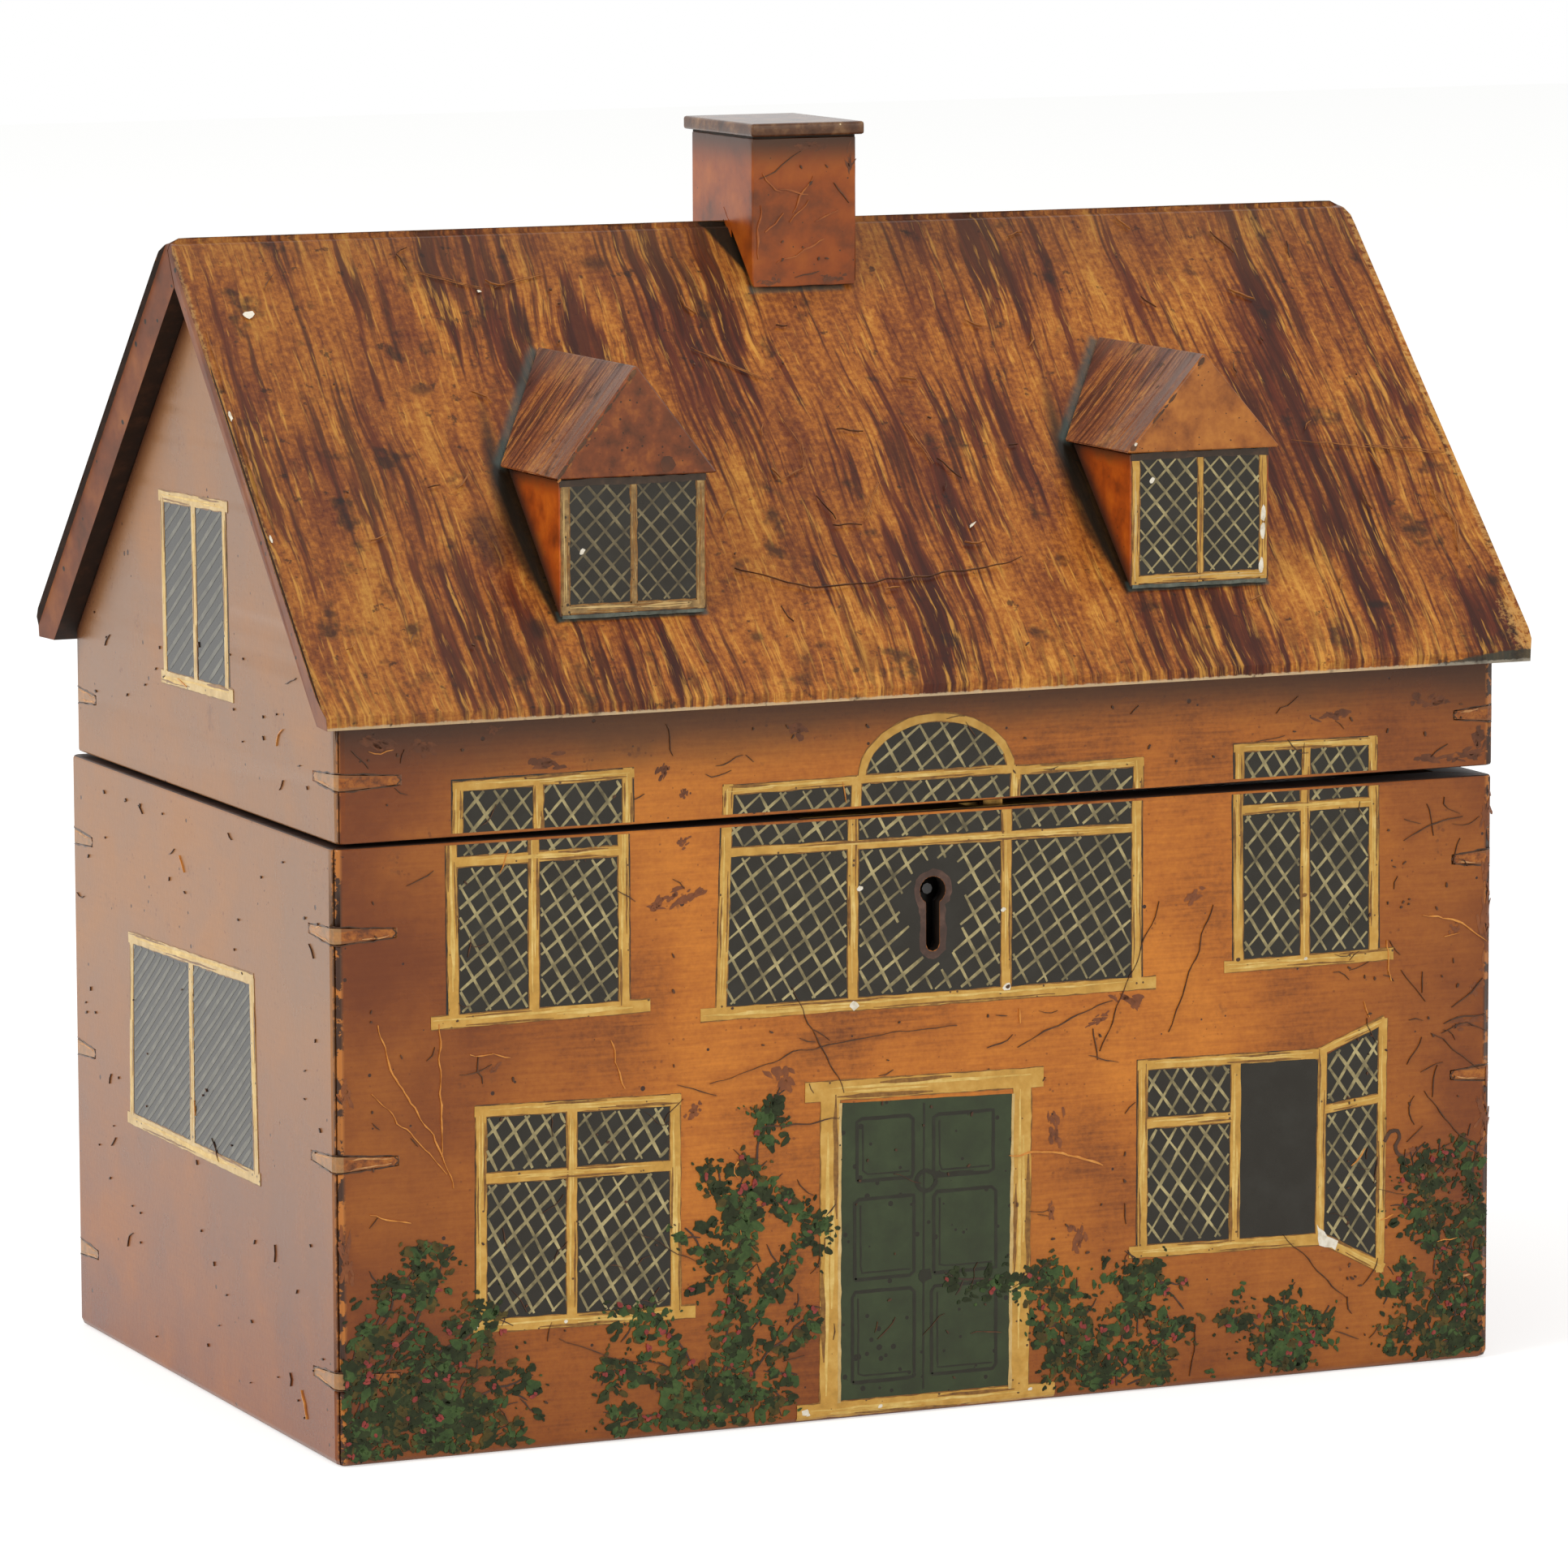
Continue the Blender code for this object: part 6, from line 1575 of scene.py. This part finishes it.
for side in ("Left", "Right"):
    mesh = bmesh.new()
    patch(mesh, stack["putty"], 0.05, random.Random(91), 0.08, 0.8)
    paintPiece("chimney_putty_" + side.lower(), mesh, "stack" + side, [chimneyPaint], "lid")

# chipped arris along the front of each dormer's roof
for side, (left, right, apex) in dormerSides.items():
    rng = random.Random(95)
    mesh = bmesh.new()
    middle = (left + right) / 2
    start, end = Vector((middle - 12.1, 135.4)), Vector((middle - 0.3, apex - 0.5))
    slide = Vector((0.25, -0.2))
    touches = 0
    along = 0.0
    while along < 1:
        reach = min(along + rng.uniform(0.04, 0.16), 1)
        near = rng.random() < (0.85 if side == "left" else 0.4)
        if near:
            touches += 1
            ends = [start.lerp(end, along) + slide, start.lerp(end, reach) + slide]
            brushed(mesh, [tuple(point) for point in ends], rng.uniform(0.25, 0.6),
                    0.02 + touches * 2e-4, rng, 0.14, 0.5, slot=0, taper=0.6)
            if rng.random() < 0.5:
                spot = ends[0] + slide
                dab(mesh, spot.x, spot.y, rng.uniform(0.4, 0.9), 0.35, 0.9, 0.05 + touches * 2e-4,
                    rng, slot=1)
        along = reach + 0.01
    dab(mesh, middle - 0.5, apex - 1.2, 1.3, 0.7, 0.9, 0.08, rng, slot=0)
    if side == "left":
        dab(mesh, middle + 4.5, 136.6, 2.4, 2.2, 0.4, 0.03, rng, slot=2)
    else:
        dab(mesh, middle - 11.2, 136.0, 1.2, 0.8, 0.9, 0.08, rng, slot=0)
        dab(mesh, middle - 10.9, 136.4, 0.6, 0.4, 0.9, 0.09, rng, slot=3)
    materials = [roofDirt, frayed, cheekPaint, gesso]
    paintPiece("arris_wear_dormer_" + side, mesh, "dormerRoof", materials, "lid")
print("scratches and smears laid on")


# The keys show as slips with dirt in the saw cuts round them and bare wood along their edges
keyLines = {"tip": 0.55, "root": 1.15, "cut": 0.16, "reach": {"left": 9.2, "right": 6.6}}


def outlineKeys(name, sheet, body, nodes, seed):
    s = keyLines
    rng = random.Random(seed)
    mesh = bmesh.new()
    facing, ends = sheets[sheet][1:3]
    right = Vector(facings[facing][0])
    for node in nodes:
        low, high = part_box(node)
        middle = (low + high) / 2 / mm
        height = middle.z
        reach = s["reach"]["left" if "_left" in node else "right"]
        side = 0 if middle.dot(right) < 0 else 1
        start, way = ends[side], 1 - 2 * side
        tip = start + way * (reach - 0.4)
        for edge in (-1, 1):
            root = (start + way * 0.3, height + edge * (s["root"] + s["cut"]))
            end = (tip, height + edge * (s["tip"] + s["cut"]))
            brushed(mesh, [root, end], 0.2, 0.03 + edge * 0.001, rng, 0.09, 0.7, slot=0, taper=0.5,
                    sway=0.2)
            inner = (start + way * 0.8, height + edge * (s["root"] - 0.3))
            close = (tip - way * 0.5, height + edge * (s["tip"] - 0.2))
            if rng.random() < 0.6:
                share = rng.uniform(0.0, 0.5)
                inner = tuple(a + (b - a) * share for a, b in zip(inner, close))
                brushed(mesh, [inner, close], 0.2, 0.034 + edge * 0.001, rng, 0.1, 0.7, slot=1,
                        taper=0.8, sway=0.3)
        brushed(mesh, [(tip, height - s["tip"]), (tip + way * 0.6, height),
                       (tip, height + s["tip"])], 0.2, 0.026, rng, 0.08, 0.4, slot=0)
    paintPiece(name, mesh, sheet, [hairline, rubbedWood], body)


def keysAt(prefix, word):
    return [name for name in frame["nodes"] if name.startswith(prefix) and word in name]


rubbedWood = oilPaint("bare wood where the paint is rubbed", ("8a5a30", "b98450", "d0a070"),
                      grain=1.2, roughness=0.45)
for number, sheet in enumerate(("front", "back", "left", "right")):
    outlineKeys("key_edges_" + sheet, sheet, "base", keysAt("base_key", "_" + sheet),
                301 + number)
    outlineKeys("key_edges_lid_" + sheet, "lid" + sheet.capitalize(), "lid",
                keysAt("lid_key", "_" + sheet), 311 + number)


# Fittings that the solids leave out: screws, and rounder knobs for the tea lids
screws = {"head": 1.3, "dome": 0.1, "slot": 0.34, "slotDepth": 0.12, "sink": 0.25}


def screwHead(name, spots, turns, material, body):
    # Countersunk heads, slotted by hand, each turned as it was left. Spots give place and way.
    s = screws
    whole = bmesh.new()
    for (place, outward), turn in zip(spots, turns):
        head = bmesh.new()
        profile = [(0.0, s["dome"]), (s["head"] * 0.55, s["dome"] * 0.8),
                   (s["head"] * 0.92, s["dome"] * 0.2), (s["head"], 0.0),
                   (s["head"] * 0.9, -s["sink"]), (0.0, -s["sink"])]
        points = [head.verts.new((x, 0, z)) for x, z in profile]
        edges = [head.edges.new(pair) for pair in zip(points, points[1:])]
        bmesh.ops.spin(head, geom=points + edges, cent=(0, 0, 0), axis=(0, 0, 1), steps=20,
                       angle=math.tau, use_merge=True)
        bmesh.ops.remove_doubles(head, verts=head.verts, dist=0.001)
        for offset, way in ((s["slot"] / 2, 1), (-s["slot"] / 2, -1)):
            bmesh.ops.bisect_plane(head, geom=[*head.verts, *head.edges, *head.faces], dist=1e-5,
                                   plane_co=(0, offset, 0), plane_no=(0, way, 0))
        for vertex in head.verts:
            if abs(vertex.co.y) < s["slot"] / 2 - 1e-4 and vertex.co.z > -s["sink"] / 2:
                vertex.co.z -= s["slotDepth"]
        aim = Vector(outward).to_track_quat("Z", "Y").to_matrix().to_4x4()
        spin = Matrix.Rotation(math.radians(turn), 4, "Z")
        bmesh.ops.transform(head, matrix=Matrix.Translation(Vector(place)) @ aim @ spin,
                            verts=head.verts)
        data = bpy.data.meshes.new("head")
        head.to_mesh(data)
        head.free()
        whole.from_mesh(data)
        bpy.data.meshes.remove(data)
    finishPiece(name, whole, [material], body, sharpAbove=35)


def corner(node):
    low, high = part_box(node)
    return low / mm, high / mm


# three screws in each hinge leaf, two in the lock's top plate, two in the link plate
fixings = {
    "alongHinge": (-8.6, 0.2, 8.8), "hingeLine": 52.0, "lockLine": -51.2, "alongLock": 16.8,
    "rim": 86.2, "turns": (12, 74, 141, 33, 98, 160),
}


def lidUnderside(x):
    # The seam gapes a little more towards the right.
    return 86.7 + (x + 89.1) * 0.9 / 179.2


for side in ("left", "right"):
    f = fixings
    low, high = corner("hinge_base_leaf_" + side)
    middle = (low.x + high.x) / 2
    underside = lidUnderside(middle)
    lines = [(middle + step, f["hingeLine"]) for step in f["alongHinge"]]
    screwHead("screws_hinge_base_" + side, [((x, y, f["rim"]), (0, 0, 1)) for x, y in lines],
              f["turns"], brass, "base")
    screwHead("screws_hinge_lid_" + side, [((x, y, underside), (0, 0, -1)) for x, y in lines],
              f["turns"][2:], brass, "lid")
low, high = corner("lock_case")
middle = (low.x + high.x) / 2
underside = lidUnderside(middle)
ends = [(middle - fixings["alongLock"], fixings["lockLine"]),
        (middle + fixings["alongLock"], fixings["lockLine"])]
screwHead("screws_lock", [((x, y, fixings["rim"]), (0, 0, 1)) for x, y in ends], (50, 120), brass,
          "base")
screwHead("screws_link_plate", [((x, y, underside), (0, 0, -1)) for x, y in ends], (80, 25), brass,
          "lid")

knob = {  # radius and height as shares of the knob's own, from its foot to its crown
    "profile": [(0.74, 0.0), (0.79, 0.03), (0.78, 0.08), (0.70, 0.12), (0.46, 0.16),
                (0.36, 0.24), (0.34, 0.32), (0.42, 0.40), (0.64, 0.46), (0.84, 0.53),
                (0.96, 0.62), (1.0, 0.72), (0.97, 0.81), (0.86, 0.90), (0.66, 0.96),
                (0.34, 0.995), (0.0, 1.0)],
    "steps": 40,
}
for side in ("left", "right"):
    node = "tea_lid_knob_" + side
    low, high = corner(node)
    radius, height = (high.x - low.x) / 2, high.z - low.z
    mesh = bmesh.new()
    profile = [(0.0, 0.0), *knob["profile"]]
    points = [mesh.verts.new((share * radius, 0, up * height)) for share, up in profile]
    edges = [mesh.edges.new(pair) for pair in zip(points, points[1:])]
    bmesh.ops.spin(mesh, geom=points + edges, cent=(0, 0, 0), axis=(0, 0, 1), steps=knob["steps"],
                   angle=math.tau, use_merge=True)
    bmesh.ops.remove_doubles(mesh, verts=mesh.verts, dist=0.001)
    foot = Vector(((low.x + high.x) / 2, (low.y + high.y) / 2, low.z))
    bmesh.ops.translate(mesh, verts=mesh.verts, vec=foot)
    finishPiece("turned_" + node, mesh, [knobBone], frame["nodes"][node]["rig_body"],
                (node,), 60)
print("screws and knobs made")


# Floor, light and camera

studio = {
    "floorSize": 3.2, "floorTint": "d8d8d6", "floorLift": 0.52, "worldAround": 0.62,
    "lamps": [  # name, place, size, power
        ("window side", (-2.3, -0.3, 1.3), 1.6, 43),
        ("overhead", (0.2, -0.6, 2.4), 1.6, 6),
        ("front", (0.5, -2.8, 1.0), 1.6, 27),
    ],
}


def seenRays(add):
    # 1 for the rays that the camera sees straight, in a gloss or through glass.
    path = add("LightPath", out=None).outputs
    seen = add("Math", [path["Is Camera Ray"], path["Is Glossy Ray"]], "ADD")
    return add("Math", [seen, path["Is Transmission Ray"]], "ADD", use_clamp=True)


def layStudio(s):
    mesh = bmesh.new()
    bmesh.ops.create_grid(mesh, x_segments=1, y_segments=1, size=s["floorSize"])
    data = bpy.data.meshes.new("studio_floor")
    mesh.to_mesh(data)
    mesh.free()
    floor = bpy.data.objects.new("studio_floor", data)
    bpy.context.scene.collection.objects.link(floor)
    # the camera sees the floor a little lighter than it is lit, as in a cut-out photograph
    material, add, spot = startMaterial("pale studio paper", {
        "Roughness": 0.9, "Base Color": tint(s["floorTint"]), "Specular IOR Level": 0,
        "Emission Color": (1, 1, 1, 1)})
    lift = add("Math", [seenRays(add), s["floorLift"]], "MULTIPLY")
    tree = material.node_tree
    tree.links.new(lift, tree.nodes["Principled BSDF"].inputs["Emission Strength"])
    data.materials.append(material)
    world = bpy.data.worlds.new("studio")
    bpy.context.scene.world = world
    world.use_nodes = True
    tree = world.node_tree
    add = partial(addNode, tree)
    level = add("MapRange", [seenRays(add), 0, 1, s["worldAround"], 1])
    tree.links.new(level, tree.nodes["Background"].inputs["Strength"])
    tree.nodes["Background"].inputs["Color"].default_value = (1, 1, 1, 1)
    for name, place, size, power in s["lamps"]:
        lamp = bpy.data.lights.new(name, "AREA")
        lamp.size = size
        lamp.energy = power
        holder = bpy.data.objects.new(name, lamp)
        holder.location = place
        aim = Vector((0, 0, 0.08)) - Vector(place)
        holder.rotation_euler = aim.to_track_quat("-Z", "Y").to_euler()
        bpy.context.scene.collection.objects.link(holder)


view = {
    "place": (-0.476699, -1.089125, 0.245154), "lens": 187.468,
    "right": (0.915389, -0.402553, -0.003597), "up": (0.057583, 0.122087, 0.990848),
    "back": (-0.39843, -0.907219, 0.134937),
}


def setCamera(s):
    camera = bpy.data.cameras.new("camera")
    camera.lens = s["lens"]
    camera.sensor_width = 36
    camera.clip_start = 0.05
    holder = bpy.data.objects.new("camera", camera)
    turn = Matrix([s["right"], s["up"], s["back"]]).transposed()
    holder.matrix_world = Matrix.Translation(s["place"]) @ turn.to_4x4()
    bpy.context.scene.collection.objects.link(holder)
    bpy.context.scene.camera = holder


layStudio(studio)
setCamera(view)
bpy.context.scene.view_settings.view_transform = "Standard"
print("studio and camera set")
